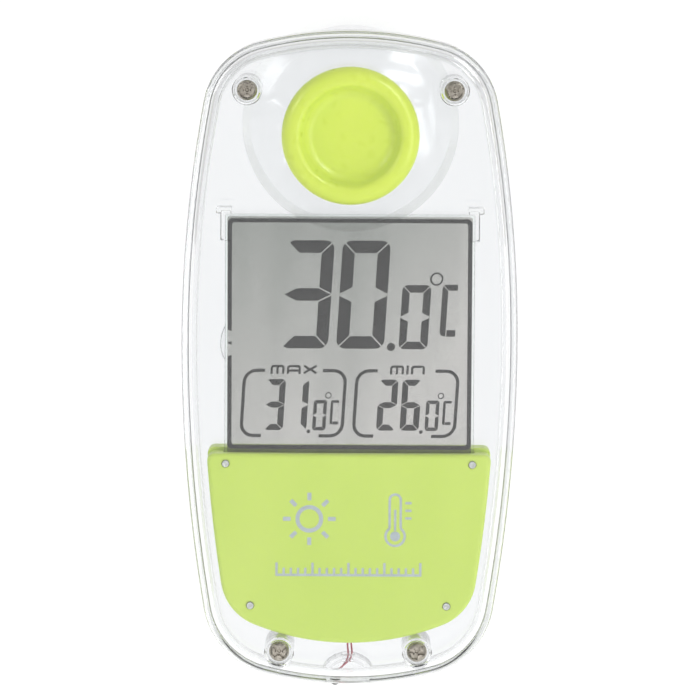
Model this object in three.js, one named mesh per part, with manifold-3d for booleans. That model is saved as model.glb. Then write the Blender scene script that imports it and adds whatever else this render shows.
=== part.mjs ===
// A clear window thermometer: a thin see-through case that hangs by a keyhole on a suction cup, with a
// see-through display and a green electronics module. Millimetres, +Z up, the display faces -Y.
// The origin is the centre of the suction cup's sealing plane, so the window pane is the plane y = 0.
import * as THREE from 'three';
import { mergeVertices } from 'three/addons/utils/BufferGeometryUtils.js';
import Module from 'manifold-3d';

const wasm = await Module();
wasm.setup();

// ---------------------------------------------------------------- driving dimensions
const CASE_HEIGHT = 136.5;
const CASE_HALF_WIDTH = 35;
const CASE_DEPTH = 18;
const CASE_REAR_Y = -11; // the case's rear face, this far in front of the pane
const CUP_AXIS_ABOVE_CASE_CENTRE = 48;
const WALL = 2;
const GAP = 0.3; // between the shells' meeting faces
const CLOSE_GAP = 0.1; // between stacked films, plates and parts that lie on each other
const SUNK = 0.5; // how far a post or rib is sunk into the wall that it stands on
const PAST = 1; // how far a cutting shape reaches past the face that it cuts
const FRONT_ROUND = 3.3; // radius of the case's front edge
const REAR_ROUND = 2;

const CASE_FRONT_Y = CASE_REAR_Y - CASE_DEPTH;
const PARTING_Y = CASE_REAR_Y - CASE_DEPTH / 2;
const FRONT_INSIDE_Y = CASE_FRONT_Y + WALL;
const REAR_INSIDE_Y = CASE_REAR_Y - WALL;

// suction cup and stud
const CUP_RADIUS = 23;
const CUP_LAND = 2.2; // width of the flat sealing land
const CUP_HOLLOW_DEPTH = 5;
const CUP_SKIRT_DEPTH = 6.6;
const NECK_RADIUS = 6;
const NECK_FRONT_Y = -10.2;
const STUD_SHANK_RADIUS = 2.5;
const STUD_HEAD_RADIUS = 5;
const STUD_HEAD_THICKNESS = 1.6;
const LIFT_TRAVEL = 7; // from the keyhole's seat to its entry hole

// green cap over the keyhole
const COVER_RADIUS = 14.4;
const COVER_BELOW_CUP_AXIS = 1.5;
const COVER_FRONT_Y = FRONT_INSIDE_Y + GAP;
const COVER_REAR_Y = REAR_INSIDE_Y - GAP;
const COVER_REAR_RADIUS = 13.3;
const COVER_RIM_WIDTH = 4.2;
const COVER_DISH_DEPTH = 3.4;
const COVER_WALL = 1.4;

// display
const LCD_WIDTH = 52;
const LCD_TOP = 30;
const LCD_BOTTOM = -23;
const LCD_LEDGE = 2.4; // strip of the front glass that the rear glass leaves free for the connector
const LCD_FRONT_Y = -23.4;
const GLASS_THICKNESS = 1.1;
const FILM_THICKNESS = 0.2;
const FILM_INSET = 0.5;
const BORDER_INSET = 0.8;
const BORDER_WIDTH = 0.7;

// electronics module
const MODULE_INSET = 4.5; // from the case's outline
const MODULE_BOTTOM = -59.5;
const MODULE_BOTTOM_RADIUS = 52.7;
const MODULE_CORNER_RADIUS = 11;
const MODULE_COVER_TOP = -19.7;
const MODULE_FRAME_TOP = -19;
const MODULE_WALL = 1.3;
const MODULE_FRONT_Y = FRONT_INSIDE_Y + 0.4;
const MODULE_REAR_Y = REAR_INSIDE_Y - 0.5;
const MODULE_PARTING_Y = -20.3;
const PCB_FRONT_Y = -20.2;
const PCB_THICKNESS = 1.2;
const PCB_TOP = -20.9;
const PCB_REAR_Y = PCB_FRONT_Y + PCB_THICKNESS;

// screws
const CASE_SCREWS = {
  top_left: [-21.5, 55.9],
  top_right: [21.5, 55.9],
  bottom_left: [-14.4, -61.4],
  bottom_right: [14.4, -61.4],
};
const PCB_SCREWS = { left: [-23, -41.5], right: [23, -41.5] };
const BOSS_RADIUS = 3.1;
const RECESS_RADIUS = 2.5;
const SCREW_SEAT_Y = CASE_FRONT_Y + 4;
const COVER_PINS = [[-25.7, -21.8], [25.7, -21.8], [-20.5, -51.6], [20.5, -51.6]];
const PIN_RADIUS = 0.55;
const PIN_LENGTH = 2.2;
const PIN_HOLE_RADIUS = 0.85;

// rear buttons
const BUTTONS = { reset: -17, unit: -5 };
const BUTTON_Z = -47;
const BUTTON_RADIUS = 3;
const BUTTON_TRAVEL = 0.4;

// temperature sensor
const ARCH_CENTRE_Z = -69.6;
const ARCH_RADIUS = 5;
const ARCH_WALL = 1.3;
const ARCH_FRONT_Y = -18.2;
const WIRE_RADIUS = 0.3;
const WIRE_Y = -15.4;
const BEAD_RADIUS = 1.2;

const ROUND = 32; // sides of a turned piece
const SMALL_ROUND = 16; // sides of a screw, pin or hole
const CURVE_STEPS = 2; // half the steps along each arc of an outline

// ---------------------------------------------------------------- solids
function solid(geometry) {
  const plain = geometry.index ? geometry.toNonIndexed() : geometry.clone();
  plain.deleteAttribute('normal');
  plain.deleteAttribute('uv');
  const merged = mergeVertices(plain, 1e-4);
  return new wasm.Manifold(new wasm.Mesh({
    numProp: 3,
    vertProperties: merged.attributes.position.array,
    triVerts: new Uint32Array(merged.index.array),
  }));
}

function geometryOf(manifold) {
  const mesh = manifold.getMesh();
  const geometry = new THREE.BufferGeometry();
  geometry.setAttribute('position', new THREE.BufferAttribute(new Float32Array(mesh.vertProperties), 3));
  geometry.setIndex(new THREE.BufferAttribute(new Uint32Array(mesh.triVerts), 1));
  const faceted = geometry.toNonIndexed();
  faceted.computeVertexNormals();
  return faceted;
}

const join = (...solids) => solids.reduce((whole, piece) => whole.add(piece));
const cut = (whole, ...tools) => tools.reduce((rest, tool) => rest.subtract(tool), whole);

// A block between two corners, given as ranges on each axis.
function block([x0, x1], [y0, y1], [z0, z1]) {
  const box = new THREE.BoxGeometry(x1 - x0, y1 - y0, z1 - z0);
  return solid(box.translate((x0 + x1) / 2, (y0 + y1) / 2, (z0 + z1) / 2));
}

// An outline in the XZ plane, as a plate from frontY back to rearY.
function plate(shape, frontY, rearY, edge = {}) {
  const { round = 0, steps = 3 } = edge;
  const extruded = new THREE.ExtrudeGeometry(shape, {
    depth: rearY - frontY - 2 * round,
    curveSegments: CURVE_STEPS,
    bevelEnabled: round > 0,
    bevelThickness: round,
    bevelSize: round,
    bevelSegments: steps,
  });
  return solid(extruded.rotateX(Math.PI / 2).translate(0, rearY - round, 0));
}

// A round rod, hole or post along Y.
function rod(radius, frontY, rearY, [x, z], sides = SMALL_ROUND) {
  const cylinder = new THREE.CylinderGeometry(radius, radius, rearY - frontY, sides);
  return solid(cylinder.translate(x, (frontY + rearY) / 2, z));
}

// A turned piece about the line through (x, z) along Y. The profile is [radius, y] pairs, front to rear.
function turned(profile, [x, z], sides = ROUND) {
  const points = profile.map(([radius, y]) => new THREE.Vector2(radius, y));
  return solid(new THREE.LatheGeometry(points, sides).translate(x, 0, z));
}

// A wire of round section along a smooth curve through the points.
function wire(points, radius, steps) {
  const section = new THREE.Shape().absarc(0, 0, radius, 0, 2 * Math.PI);
  const path = new THREE.CatmullRomCurve3(points.map((p) => new THREE.Vector3(...p)));
  return solid(new THREE.ExtrudeGeometry(section, { steps, curveSegments: 4, extrudePath: path }));
}

// ---------------------------------------------------------------- outlines
const UPWARDS = [0, 1];
const DOWNWARDS = [0, -1];
const arc = (x, z, radius) => ({ centre: new THREE.Vector2(x, z), radius });

// The arc of the given radius that touches two larger arcs from inside. Two arcs do, and the one whose
// centre lies further towards the given direction is kept.
function cornerArc(a, b, radius, [towardsX, towardsZ]) {
  const fromA = a.radius - radius;
  const fromB = b.radius - radius;
  const between = b.centre.clone().sub(a.centre);
  const distance = between.length();
  const along = (fromA ** 2 - fromB ** 2 + distance ** 2) / (2 * distance);
  const across = Math.sqrt(fromA ** 2 - along ** 2);
  const unit = between.divideScalar(distance);
  const candidates = [1, -1].map((turn) => new THREE.Vector2(
    a.centre.x + unit.x * along - turn * unit.y * across,
    a.centre.y + unit.y * along + turn * unit.x * across,
  ));
  const reach = (point) => point.x * towardsX + point.y * towardsZ;
  const [centre] = candidates.sort((p, q) => reach(q) - reach(p));
  return { centre, radius };
}

const inset = (arcs, distance) => arcs.map(({ centre, radius }) => ({ centre, radius: radius - distance }));

// A closed outline, symmetric about x = 0, from the arcs down its right-hand side. Each arc touches the
// next, so they meet on the line through both centres.
function outline(arcs) {
  const meets = arcs.slice(1).map((next, i) => {
    const here = arcs[i];
    const larger = here.radius > next.radius ? here : next;
    const smaller = larger === here ? next : here;
    return smaller.centre.clone().sub(larger.centre).angle();
  }).map((angle) => (angle > Math.PI ? angle - 2 * Math.PI : angle));
  const shape = new THREE.Shape();
  const last = arcs.length - 1;
  shape.absarc(0, arcs[0].centre.y, arcs[0].radius, Math.PI - meets[0], meets[0], true);
  for (let i = 1; i < last; i += 1) {
    shape.absarc(arcs[i].centre.x, arcs[i].centre.y, arcs[i].radius, meets[i - 1], meets[i], true);
  }
  shape.absarc(0, arcs[last].centre.y, arcs[last].radius, meets[last - 1], -Math.PI - meets[last - 1], true);
  for (let i = last - 1; i > 0; i -= 1) {
    const { centre, radius } = arcs[i];
    shape.absarc(-centre.x, centre.y, radius, -Math.PI - meets[i], -Math.PI - meets[i - 1], true);
  }
  return shape;
}

// The case: a shallow arc at the top, long side arcs that are widest just above the middle and flatter
// below it, a tighter arc at the bottom, and round corners between them.
const WIDEST_Z = 3.6;
const TOP_RADIUS = 77;
const BOTTOM_RADIUS = 70.7;
const UPPER_SIDE_RADIUS = 280;
const LOWER_SIDE_RADIUS = 334;
const TOP_ARC = arc(0, CASE_HEIGHT / 2 - TOP_RADIUS, TOP_RADIUS);
const UPPER_SIDE = arc(CASE_HALF_WIDTH - UPPER_SIDE_RADIUS, WIDEST_Z, UPPER_SIDE_RADIUS);
const LOWER_SIDE = arc(CASE_HALF_WIDTH - LOWER_SIDE_RADIUS, WIDEST_Z, LOWER_SIDE_RADIUS);
const BOTTOM_ARC = arc(0, BOTTOM_RADIUS - CASE_HEIGHT / 2, BOTTOM_RADIUS);
const TOP_CORNER = cornerArc(TOP_ARC, UPPER_SIDE, 15.4, UPWARDS);
const BOTTOM_CORNER = cornerArc(LOWER_SIDE, BOTTOM_ARC, 17, DOWNWARDS);
const CASE_ARCS = [TOP_ARC, TOP_CORNER, UPPER_SIDE, LOWER_SIDE, BOTTOM_CORNER, BOTTOM_ARC];

// The module follows the case's sides, inset, down to a corner and a bottom arc of its own.
function moduleArcs(extraInset) {
  const [top, topCorner, upperSide, lowerSide] = inset(CASE_ARCS, MODULE_INSET);
  const bottom = arc(0, MODULE_BOTTOM + MODULE_BOTTOM_RADIUS, MODULE_BOTTOM_RADIUS);
  const corner = cornerArc(lowerSide, bottom, MODULE_CORNER_RADIUS, DOWNWARDS);
  return inset([top, topCorner, upperSide, lowerSide, corner, bottom], extraInset);
}

const FAR = 200; // past the object's ends

const above = (z) => block([-FAR, FAR], [-FAR, FAR], [z, FAR]);

// The module's outline as a plate, cut off level at the given height.
function modulePlate(extraInset, frontY, rearY, top) {
  return cut(plate(outline(moduleArcs(extraInset)), frontY, rearY), above(top));
}

// A rectangle symmetric about x = 0, with its corners cut off by the given length.
function rectangle(halfWidth, bottom, top, corner = 0) {
  const corners = [[-1, bottom, 1], [1, bottom, 1], [1, top, -1], [-1, top, -1]];
  return new THREE.Shape(corners.flatMap(([side, z, inwards], i) => {
    const level = new THREE.Vector2(side * (halfWidth - corner), z);
    const upright = new THREE.Vector2(side * halfWidth, z + inwards * corner);
    if (corner === 0) return [level];
    return i % 2 ? [level, upright] : [upright, level];
  }));
}

// ---------------------------------------------------------------- the object and its materials
const thermometer = new THREE.Group();
thermometer.name = 'window_thermometer';

// Everything in the case is modelled about the case's centre.
const caseGroup = new THREE.Group();
caseGroup.position.z = -CUP_AXIS_ABOVE_CASE_CENTRE;
thermometer.add(caseGroup);

const MATERIALS = {
  clear: { color: 0xe9ecee, roughness: 0.08, metalness: 0, transparent: true, opacity: 0.3 },
  softClear: { color: 0xe4e9ea, roughness: 0.2, metalness: 0, transparent: true, opacity: 0.4 },
  green: { color: 0xc4d94f, roughness: 0.35, metalness: 0 },
  glass: { color: 0xdfe6e4, roughness: 0.03, metalness: 0, transparent: true, opacity: 0.3 },
  film: { color: 0x9da09c, roughness: 0.25, metalness: 0, transparent: true, opacity: 0.6 },
  black: { color: 0x1c1d1f, roughness: 0.45, metalness: 0 },
  rubber: { color: 0x3a3b3d, roughness: 0.8, metalness: 0 },
  board: { color: 0x2f6b3a, roughness: 0.5, metalness: 0 },
  nickel: { color: 0xb9b6b0, roughness: 0.3, metalness: 1 },
  solar: { color: 0x1b1f33, roughness: 0.2, metalness: 0 },
  redWire: { color: 0xc8202c, roughness: 0.5, metalness: 0 },
  ceramic: { color: 0xb89a74, roughness: 0.6, metalness: 0 },
};

function addPart(group, name, material, manifold) {
  const mesh = new THREE.Mesh(geometryOf(manifold), new THREE.MeshStandardMaterial(MATERIALS[material]));
  mesh.name = name;
  group.add(mesh);
}

// ---------------------------------------------------------------- suction cup and stud
const ON_AXIS = [0, 0];
const STUD_FLANGE_Y = NECK_FRONT_Y + 2; // the flange is buried this far in the neck
const STUD_FLANGE_RADIUS = 4;
const STUD_FLANGE_THICKNESS = 1.4;
const STUD_HEAD_REAR_Y = REAR_INSIDE_Y - GAP;

// A cup skirt with a flat sealing land, a shallow hollow and a neck with a grooved socket for the stud.
function suctionCup() {
  const landInner = CUP_RADIUS - CUP_LAND;
  const edge = 0.8; // thickness of the skirt at its rim
  const socketRear = STUD_FLANGE_Y + STUD_FLANGE_THICKNESS + CLOSE_GAP;
  return turned([
    [0, socketRear],
    [STUD_FLANGE_RADIUS + CLOSE_GAP, socketRear],
    [STUD_FLANGE_RADIUS + CLOSE_GAP, STUD_FLANGE_Y - CLOSE_GAP],
    [STUD_SHANK_RADIUS + CLOSE_GAP, STUD_FLANGE_Y - CLOSE_GAP],
    [STUD_SHANK_RADIUS + CLOSE_GAP, NECK_FRONT_Y],
    [NECK_RADIUS - 0.6, NECK_FRONT_Y],
    [NECK_RADIUS, NECK_FRONT_Y + 0.6],
    [NECK_RADIUS, -CUP_SKIRT_DEPTH - 0.9],
    [NECK_RADIUS + 1.2, -CUP_SKIRT_DEPTH],
    [12, -5.6],
    [18, -3.2],
    [CUP_RADIUS, -edge],
    [CUP_RADIUS, 0],
    [landInner, 0],
    [18, -1.6],
    [12, -3.8],
    [6, -CUP_HOLLOW_DEPTH + 0.2],
    [0, -CUP_HOLLOW_DEPTH],
  ], ON_AXIS, 40);
}
addPart(thermometer, 'suction_cup', 'softClear', suctionCup());

function cupStud() {
  const headFront = STUD_HEAD_REAR_Y - STUD_HEAD_THICKNESS;
  return turned([
    [0, headFront],
    [STUD_HEAD_RADIUS - 0.5, headFront],
    [STUD_HEAD_RADIUS, headFront + 0.5],
    [STUD_HEAD_RADIUS, STUD_HEAD_REAR_Y],
    [STUD_SHANK_RADIUS, STUD_HEAD_REAR_Y],
    [STUD_SHANK_RADIUS, STUD_FLANGE_Y],
    [STUD_FLANGE_RADIUS, STUD_FLANGE_Y],
    [STUD_FLANGE_RADIUS, STUD_FLANGE_Y + STUD_FLANGE_THICKNESS],
    [0, STUD_FLANGE_Y + STUD_FLANGE_THICKNESS],
  ], ON_AXIS, 24);
}
addPart(thermometer, 'cup_stud', 'clear', cupStud());

// ---------------------------------------------------------------- case shells
const AXIS_Z = CUP_AXIS_ABOVE_CASE_CENTRE;
const COVER_CENTRE = [0, AXIS_Z - COVER_BELOW_CUP_AXIS];
const SEAL_INSET = 0.6;
const SEAL_WIDTH = 0.8;
const SEAL_REAR_Y = PARTING_Y + 0.9;
const SHANK_HOLE_RADIUS = 1.4;

const bosses = (frontY, rearY, radius) => Object.values(CASE_SCREWS)
  .map((place) => rod(radius, frontY, rearY, place));

const CLAW_WALL = 1.5;
const CLAW_LAP = 1.6; // how far a claw reaches over the display's face
const CLAW_LENGTH = 5.3;

// The two clear claws that hold the display's upper corners, one at each side.
function lcdClaw(side) {
  const x = (from, to) => [Math.min(side * from, side * to), Math.max(side * from, side * to)];
  const outside = LCD_WIDTH / 2 + GAP;
  const rearY = PARTING_Y - 0.4;
  const claw = block(
    x(outside - CLAW_LAP, outside + CLAW_WALL),
    [FRONT_INSIDE_Y - SUNK, rearY],
    [LCD_TOP - CLAW_LENGTH, LCD_TOP + CLAW_WALL],
  );
  const pocket = block(x(0, outside), [LCD_FRONT_Y - GAP, rearY + PAST], [0, LCD_TOP + GAP]);
  return cut(claw, pocket);
}

// A tray: outside with a rounded face edge, hollow inside, cut level where the shells meet.
function frontShell() {
  const body = plate(outline(inset(CASE_ARCS, FRONT_ROUND)), CASE_FRONT_Y, CASE_REAR_Y, { round: FRONT_ROUND });
  const innerRound = FRONT_ROUND - WALL + 0.4;
  const hollow = plate(outline(inset(CASE_ARCS, WALL + innerRound)), FRONT_INSIDE_Y, 0, { round: innerRound });
  const posts = COVER_PINS.map((place) => rod(PIN_RADIUS, FRONT_INSIDE_Y - SUNK, FRONT_INSIDE_Y + PIN_LENGTH, place, 8));
  const behind = block([-FAR, FAR], [PARTING_Y - GAP / 2, FAR], [-FAR, FAR]);
  const tray = join(
    cut(body, hollow),
    ...bosses(FRONT_INSIDE_Y - SUNK, PARTING_Y, BOSS_RADIUS),
    ...posts,
    lcdClaw(-1),
    lcdClaw(1),
  );
  return cut(
    tray,
    ...bosses(CASE_FRONT_Y - PAST, SCREW_SEAT_Y, RECESS_RADIUS),
    ...bosses(SCREW_SEAT_Y - PAST, 0, SHANK_HOLE_RADIUS),
    behind,
  );
}
addPart(caseGroup, 'front_shell', 'clear', frontShell());

// The straight passage for the two sensor wires, between two heights.
function wirePassage(bottom, top) {
  return block([-1.2, 1.2], [WIRE_Y - 0.8, WIRE_Y + 0.8], [bottom, top]);
}

// A round entry hole with a narrow slot above it, for the stud's head and shank.
function keyhole() {
  const slotHalfWidth = STUD_SHANK_RADIUS + GAP;
  const entryZ = AXIS_Z - LIFT_TRAVEL;
  const slot = block([-slotHalfWidth, slotHalfWidth], [REAR_INSIDE_Y - PAST, CASE_REAR_Y + PAST], [entryZ, AXIS_Z]);
  const seat = rod(slotHalfWidth, REAR_INSIDE_Y - PAST, CASE_REAR_Y + PAST, [0, AXIS_Z]);
  const entry = rod(STUD_HEAD_RADIUS + 0.5, REAR_INSIDE_Y - PAST, CASE_REAR_Y + PAST, [0, entryZ], 24);
  return join(slot, seat, entry);
}

function rearShell() {
  const body = plate(outline(inset(CASE_ARCS, REAR_ROUND)), CASE_FRONT_Y, CASE_REAR_Y, { round: REAR_ROUND });
  const innerRound = 1;
  const hollow = plate(outline(inset(CASE_ARCS, WALL + innerRound)), -FAR, REAR_INSIDE_Y, { round: innerRound });
  const inFront = block([-FAR, FAR], [-FAR, PARTING_Y + GAP / 2], [-FAR, FAR]);
  const sealRing = cut(
    plate(outline(inset(CASE_ARCS, SEAL_INSET)), PARTING_Y, SEAL_REAR_Y + CLOSE_GAP),
    plate(outline(inset(CASE_ARCS, SEAL_INSET + SEAL_WIDTH)), PARTING_Y - PAST, SEAL_REAR_Y + PAST),
  );
  const archPlace = [0, ARCH_CENTRE_Z];
  const archWall = body
    .intersect(rod(ARCH_RADIUS + ARCH_WALL, ARCH_FRONT_Y - ARCH_WALL, CASE_REAR_Y, archPlace, 24));
  const archHollow = rod(ARCH_RADIUS, ARCH_FRONT_Y, CASE_REAR_Y + PAST, archPlace, 24);
  const wireHole = wirePassage(ARCH_CENTRE_Z, ARCH_CENTRE_Z + ARCH_RADIUS + ARCH_WALL + PAST);
  const buttonHoles = Object.values(BUTTONS)
    .map((x) => rod(BUTTON_RADIUS + GAP, REAR_INSIDE_Y - PAST, CASE_REAR_Y + PAST, [x, BUTTON_Z], 20));
  const tray = join(cut(body, hollow), ...bosses(PARTING_Y - PAST, REAR_INSIDE_Y + SUNK, BOSS_RADIUS), archWall);
  return cut(
    tray,
    ...bosses(-FAR, REAR_INSIDE_Y - PAST, SHANK_HOLE_RADIUS),
    keyhole(),
    archHollow,
    wireHole,
    ...buttonHoles,
    sealRing,
    inFront,
  );
}
addPart(caseGroup, 'rear_shell', 'clear', rearShell());

const caseSeal = () => cut(
  plate(outline(inset(CASE_ARCS, SEAL_INSET + CLOSE_GAP)), PARTING_Y - CLOSE_GAP / 2, SEAL_REAR_Y),
  plate(outline(inset(CASE_ARCS, SEAL_INSET + SEAL_WIDTH - CLOSE_GAP)), PARTING_Y - PAST, SEAL_REAR_Y + PAST),
);
addPart(caseGroup, 'case_seal', 'softClear', caseSeal());

// A pan-head screw with a cross recess. Its seat is where the head's underside lies, and it points along
// +Y (direction 1) or -Y (direction -1).
function screw([x, z], seatY, direction, { headRadius, headHeight, shankRadius, length }) {
  const along = (distance) => seatY + direction * distance;
  const profile = [
    [0, along(-headHeight)],
    [headRadius * 0.6, along(-headHeight)],
    [headRadius, along(-headHeight * 0.45)],
    [headRadius, along(0)],
    [shankRadius, along(0)],
    [shankRadius, along(length - shankRadius)],
    [0, along(length)],
  ];
  const body = turned(direction > 0 ? profile : profile.reverse(), [x, z], SMALL_ROUND);
  const slotHalf = headRadius * 0.12;
  const reach = headRadius * 0.62;
  const depth = [along(-headHeight - PAST), along(-headHeight * 0.35)].sort((a, b) => a - b);
  return cut(
    body,
    block([x - reach, x + reach], depth, [z - slotHalf, z + slotHalf]),
    block([x - slotHalf, x + slotHalf], depth, [z - reach, z + reach]),
  );
}

const CASE_SCREW_SIZE = { headRadius: 2.1, headHeight: 1.7, shankRadius: 1.1, length: 9.5 };
for (const [corner, place] of Object.entries(CASE_SCREWS)) {
  addPart(caseGroup, `case_screw_${corner}`, 'nickel', screw(place, SCREW_SEAT_Y - CLOSE_GAP, 1, CASE_SCREW_SIZE));
}

// The green cap: a dished face inside a full round rim, on a slightly tapered skirt that is bonded to the
// rear shell around the keyhole.
function mountCover() {
  const rimMiddle = COVER_RADIUS - COVER_RIM_WIDTH / 2;
  const rimHalf = COVER_RIM_WIDTH / 2;
  const rim = [];
  const steps = 8;
  for (let i = 0; i <= steps; i += 1) {
    const angle = Math.PI * (1 - i / steps);
    rim.push([rimMiddle + rimHalf * Math.cos(angle), COVER_FRONT_Y + rimHalf * (1 - Math.sin(angle))]);
  }
  const dishY = COVER_FRONT_Y + COVER_DISH_DEPTH;
  return turned([
    [0, dishY],
    [COVER_RADIUS - COVER_RIM_WIDTH - 1.6, dishY],
    ...rim,
    [COVER_REAR_RADIUS, COVER_REAR_Y],
    [COVER_REAR_RADIUS - COVER_WALL, COVER_REAR_Y],
    [COVER_RADIUS - COVER_WALL, dishY + COVER_WALL],
    [0, dishY + COVER_WALL],
  ], COVER_CENTRE, 40);
}
addPart(caseGroup, 'mount_cover', 'green', mountCover());

// ---------------------------------------------------------------- see-through display
const LCD_HALF = LCD_WIDTH / 2;
const REAR_GLASS_BOTTOM = LCD_BOTTOM + LCD_LEDGE;

function displayStack() {
  const film = (bottom) => rectangle(LCD_HALF - FILM_INSET, bottom + FILM_INSET, LCD_TOP - FILM_INSET);
  const borderOuter = rectangle(LCD_HALF - BORDER_INSET, REAR_GLASS_BOTTOM + BORDER_INSET, LCD_TOP - BORDER_INSET, 1);
  const innerInset = BORDER_INSET + BORDER_WIDTH;
  const borderInner = rectangle(LCD_HALF - innerInset, REAR_GLASS_BOTTOM + innerInset, LCD_TOP - innerInset, 1);
  const layers = [
    ['lcd_front_polariser', 'film', FILM_THICKNESS, film(LCD_BOTTOM)],
    ['lcd_front_glass', 'glass', GLASS_THICKNESS, rectangle(LCD_HALF, LCD_BOTTOM, LCD_TOP)],
    ['lcd_border_seal', 'black', FILM_THICKNESS, borderOuter],
    ['lcd_rear_glass', 'glass', GLASS_THICKNESS, rectangle(LCD_HALF, REAR_GLASS_BOTTOM, LCD_TOP)],
    ['lcd_rear_polariser', 'film', FILM_THICKNESS, film(REAR_GLASS_BOTTOM)],
  ];
  const spacing = CLOSE_GAP / 2;
  let frontY = LCD_FRONT_Y;
  for (const [name, material, thickness, shape] of layers) {
    const layer = plate(shape, frontY, frontY + thickness);
    const opening = plate(borderInner, frontY - PAST, frontY + thickness + PAST);
    addPart(caseGroup, name, material, name === 'lcd_border_seal' ? cut(layer, opening) : layer);
    frontY += thickness + spacing;
  }
}
displayStack();

// The rubber connector stands on the ledge of the front glass, in front of the board's upper edge.
const LEDGE_Y = LCD_FRONT_Y + FILM_THICKNESS + GLASS_THICKNESS + CLOSE_GAP;
addPart(
  caseGroup,
  'zebra_strip',
  'rubber',
  block([-24, 24], [LEDGE_Y + CLOSE_GAP, PCB_FRONT_Y - CLOSE_GAP], [LCD_BOTTOM + 0.2, REAR_GLASS_BOTTOM - 0.6]),
);

// ---------------------------------------------------------------- electronics module
const POST_RADIUS = 2.2;
const PCB_SCREW_HOLE_RADIUS = 1.1;

// Green front: an outer wall and face, open at the top behind the lip where the display stands.
function moduleCover() {
  const lipRear = LCD_FRONT_Y - GAP;
  const face = MODULE_FRONT_Y + 1.5;
  const outside = modulePlate(0, MODULE_FRONT_Y, MODULE_PARTING_Y - GAP / 2, MODULE_COVER_TOP);
  const hollow = modulePlate(MODULE_WALL, face, 0, MODULE_COVER_TOP - MODULE_WALL);
  const slot = block([-LCD_HALF - GAP, LCD_HALF + GAP], [lipRear, 0], [MODULE_COVER_TOP - 3, 0]);
  const posts = Object.values(PCB_SCREWS).map((place) => rod(POST_RADIUS, face - 0.3, PCB_FRONT_Y - GAP, place));
  const postHoles = Object.values(PCB_SCREWS)
    .map((place) => rod(PCB_SCREW_HOLE_RADIUS, face + 0.5, 0, place));
  const pinHoles = COVER_PINS.map((place) => rod(PIN_HOLE_RADIUS, MODULE_FRONT_Y - PAST, face + PAST, place, 12));
  return cut(join(cut(outside, hollow, slot), ...posts), ...postHoles, ...pinHoles);
}
addPart(caseGroup, 'module_cover', 'green', moduleCover());

const SOLAR_HALF_WIDTH = 20;
const SOLAR_BOTTOM = -37;
const SOLAR_TOP = -24.5;
const SOLAR_REAR_Y = MODULE_REAR_Y - 0.2;
const SOLAR_THICKNESS = 1.2;
const FRAME_FACE_Y = MODULE_REAR_Y - 1.5;

// Green rear: a tray with a window for the solar cell, two button holes and a notch for the sensor wires.
function moduleFrame() {
  const outside = modulePlate(0, MODULE_PARTING_Y + GAP / 2, MODULE_REAR_Y, MODULE_FRAME_TOP);
  const hollow = modulePlate(MODULE_WALL, -FAR, FRAME_FACE_Y, MODULE_FRAME_TOP - MODULE_WALL);
  const window = block(
    [-SOLAR_HALF_WIDTH - GAP, SOLAR_HALF_WIDTH + GAP],
    [FRAME_FACE_Y - PAST, 0],
    [SOLAR_BOTTOM - GAP, SOLAR_TOP + GAP],
  );
  const buttonHoles = Object.values(BUTTONS)
    .map((x) => rod(BUTTON_RADIUS + GAP, FRAME_FACE_Y - PAST, 0, [x, BUTTON_Z], 20));
  const wireNotch = wirePassage(MODULE_BOTTOM - PAST, MODULE_BOTTOM + MODULE_WALL + PAST);
  return cut(outside, hollow, window, wireNotch, ...buttonHoles);
}
addPart(caseGroup, 'module_frame', 'green', moduleFrame());

function mainPcb() {
  const board = modulePlate(MODULE_WALL + GAP, PCB_FRONT_Y, PCB_REAR_Y, PCB_TOP);
  const holes = Object.values(PCB_SCREWS).map((place) => rod(PCB_SCREW_HOLE_RADIUS, -FAR, 0, place));
  return cut(board, ...holes);
}
addPart(caseGroup, 'main_pcb', 'board', mainPcb());

const PCB_SCREW_SIZE = { headRadius: 1.7, headHeight: 1.2, shankRadius: 0.8, length: 5.2 };
for (const [side, place] of Object.entries(PCB_SCREWS)) {
  addPart(caseGroup, `pcb_screw_${side}`, 'nickel', screw(place, PCB_REAR_Y + CLOSE_GAP, -1, PCB_SCREW_SIZE));
}

// The driver chip's epoxy drop, on the board's front side.
function chipBlob() {
  const rearY = PCB_FRONT_Y - CLOSE_GAP;
  const height = 1.6;
  const radius = 5.5;
  const steps = 5;
  const dome = [];
  for (let i = 0; i <= steps; i += 1) {
    const angle = (Math.PI / 2) * (i / steps);
    dome.push([radius * Math.sin(angle), rearY - height * Math.cos(angle)]);
  }
  return turned([...dome, [0, rearY]], [0, -35], 24);
}
addPart(caseGroup, 'driver_chip_blob', 'black', chipBlob());

// Small parts on the board's rear side: name, material, half width, half height, thickness, place.
const SMALL_PARTS = [
  ['charge_diode', 'black', 1.9, 1.1, 1.2, [-6, -41]],
  ['filter_capacitor', 'ceramic', 1.0, 0.6, 0.8, [-12, -40]],
  ['supply_capacitor', 'ceramic', 1.6, 0.9, 1.1, [1.5, -41]],
  ['sensor_resistor', 'black', 1.0, 0.6, 0.5, [4, -54]],
  ['pull_up_resistor', 'black', 1.0, 0.6, 0.5, [-11, -54]],
];
for (const [name, material, halfWidth, halfHeight, thickness, [x, z]] of SMALL_PARTS) {
  const rear = PCB_REAR_Y + CLOSE_GAP;
  addPart(caseGroup, name, material, block(
    [x - halfWidth, x + halfWidth],
    [rear, rear + thickness],
    [z - halfHeight, z + halfHeight],
  ));
}

// The clock crystal is a small can lying along X.
function crystalCan() {
  const radius = 1;
  const can = new THREE.CylinderGeometry(radius, radius, 6, SMALL_ROUND).rotateZ(Math.PI / 2);
  return solid(can.translate(-15, PCB_REAR_Y + radius + CLOSE_GAP, -33));
}
addPart(caseGroup, 'crystal_can', 'nickel', crystalCan());

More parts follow.
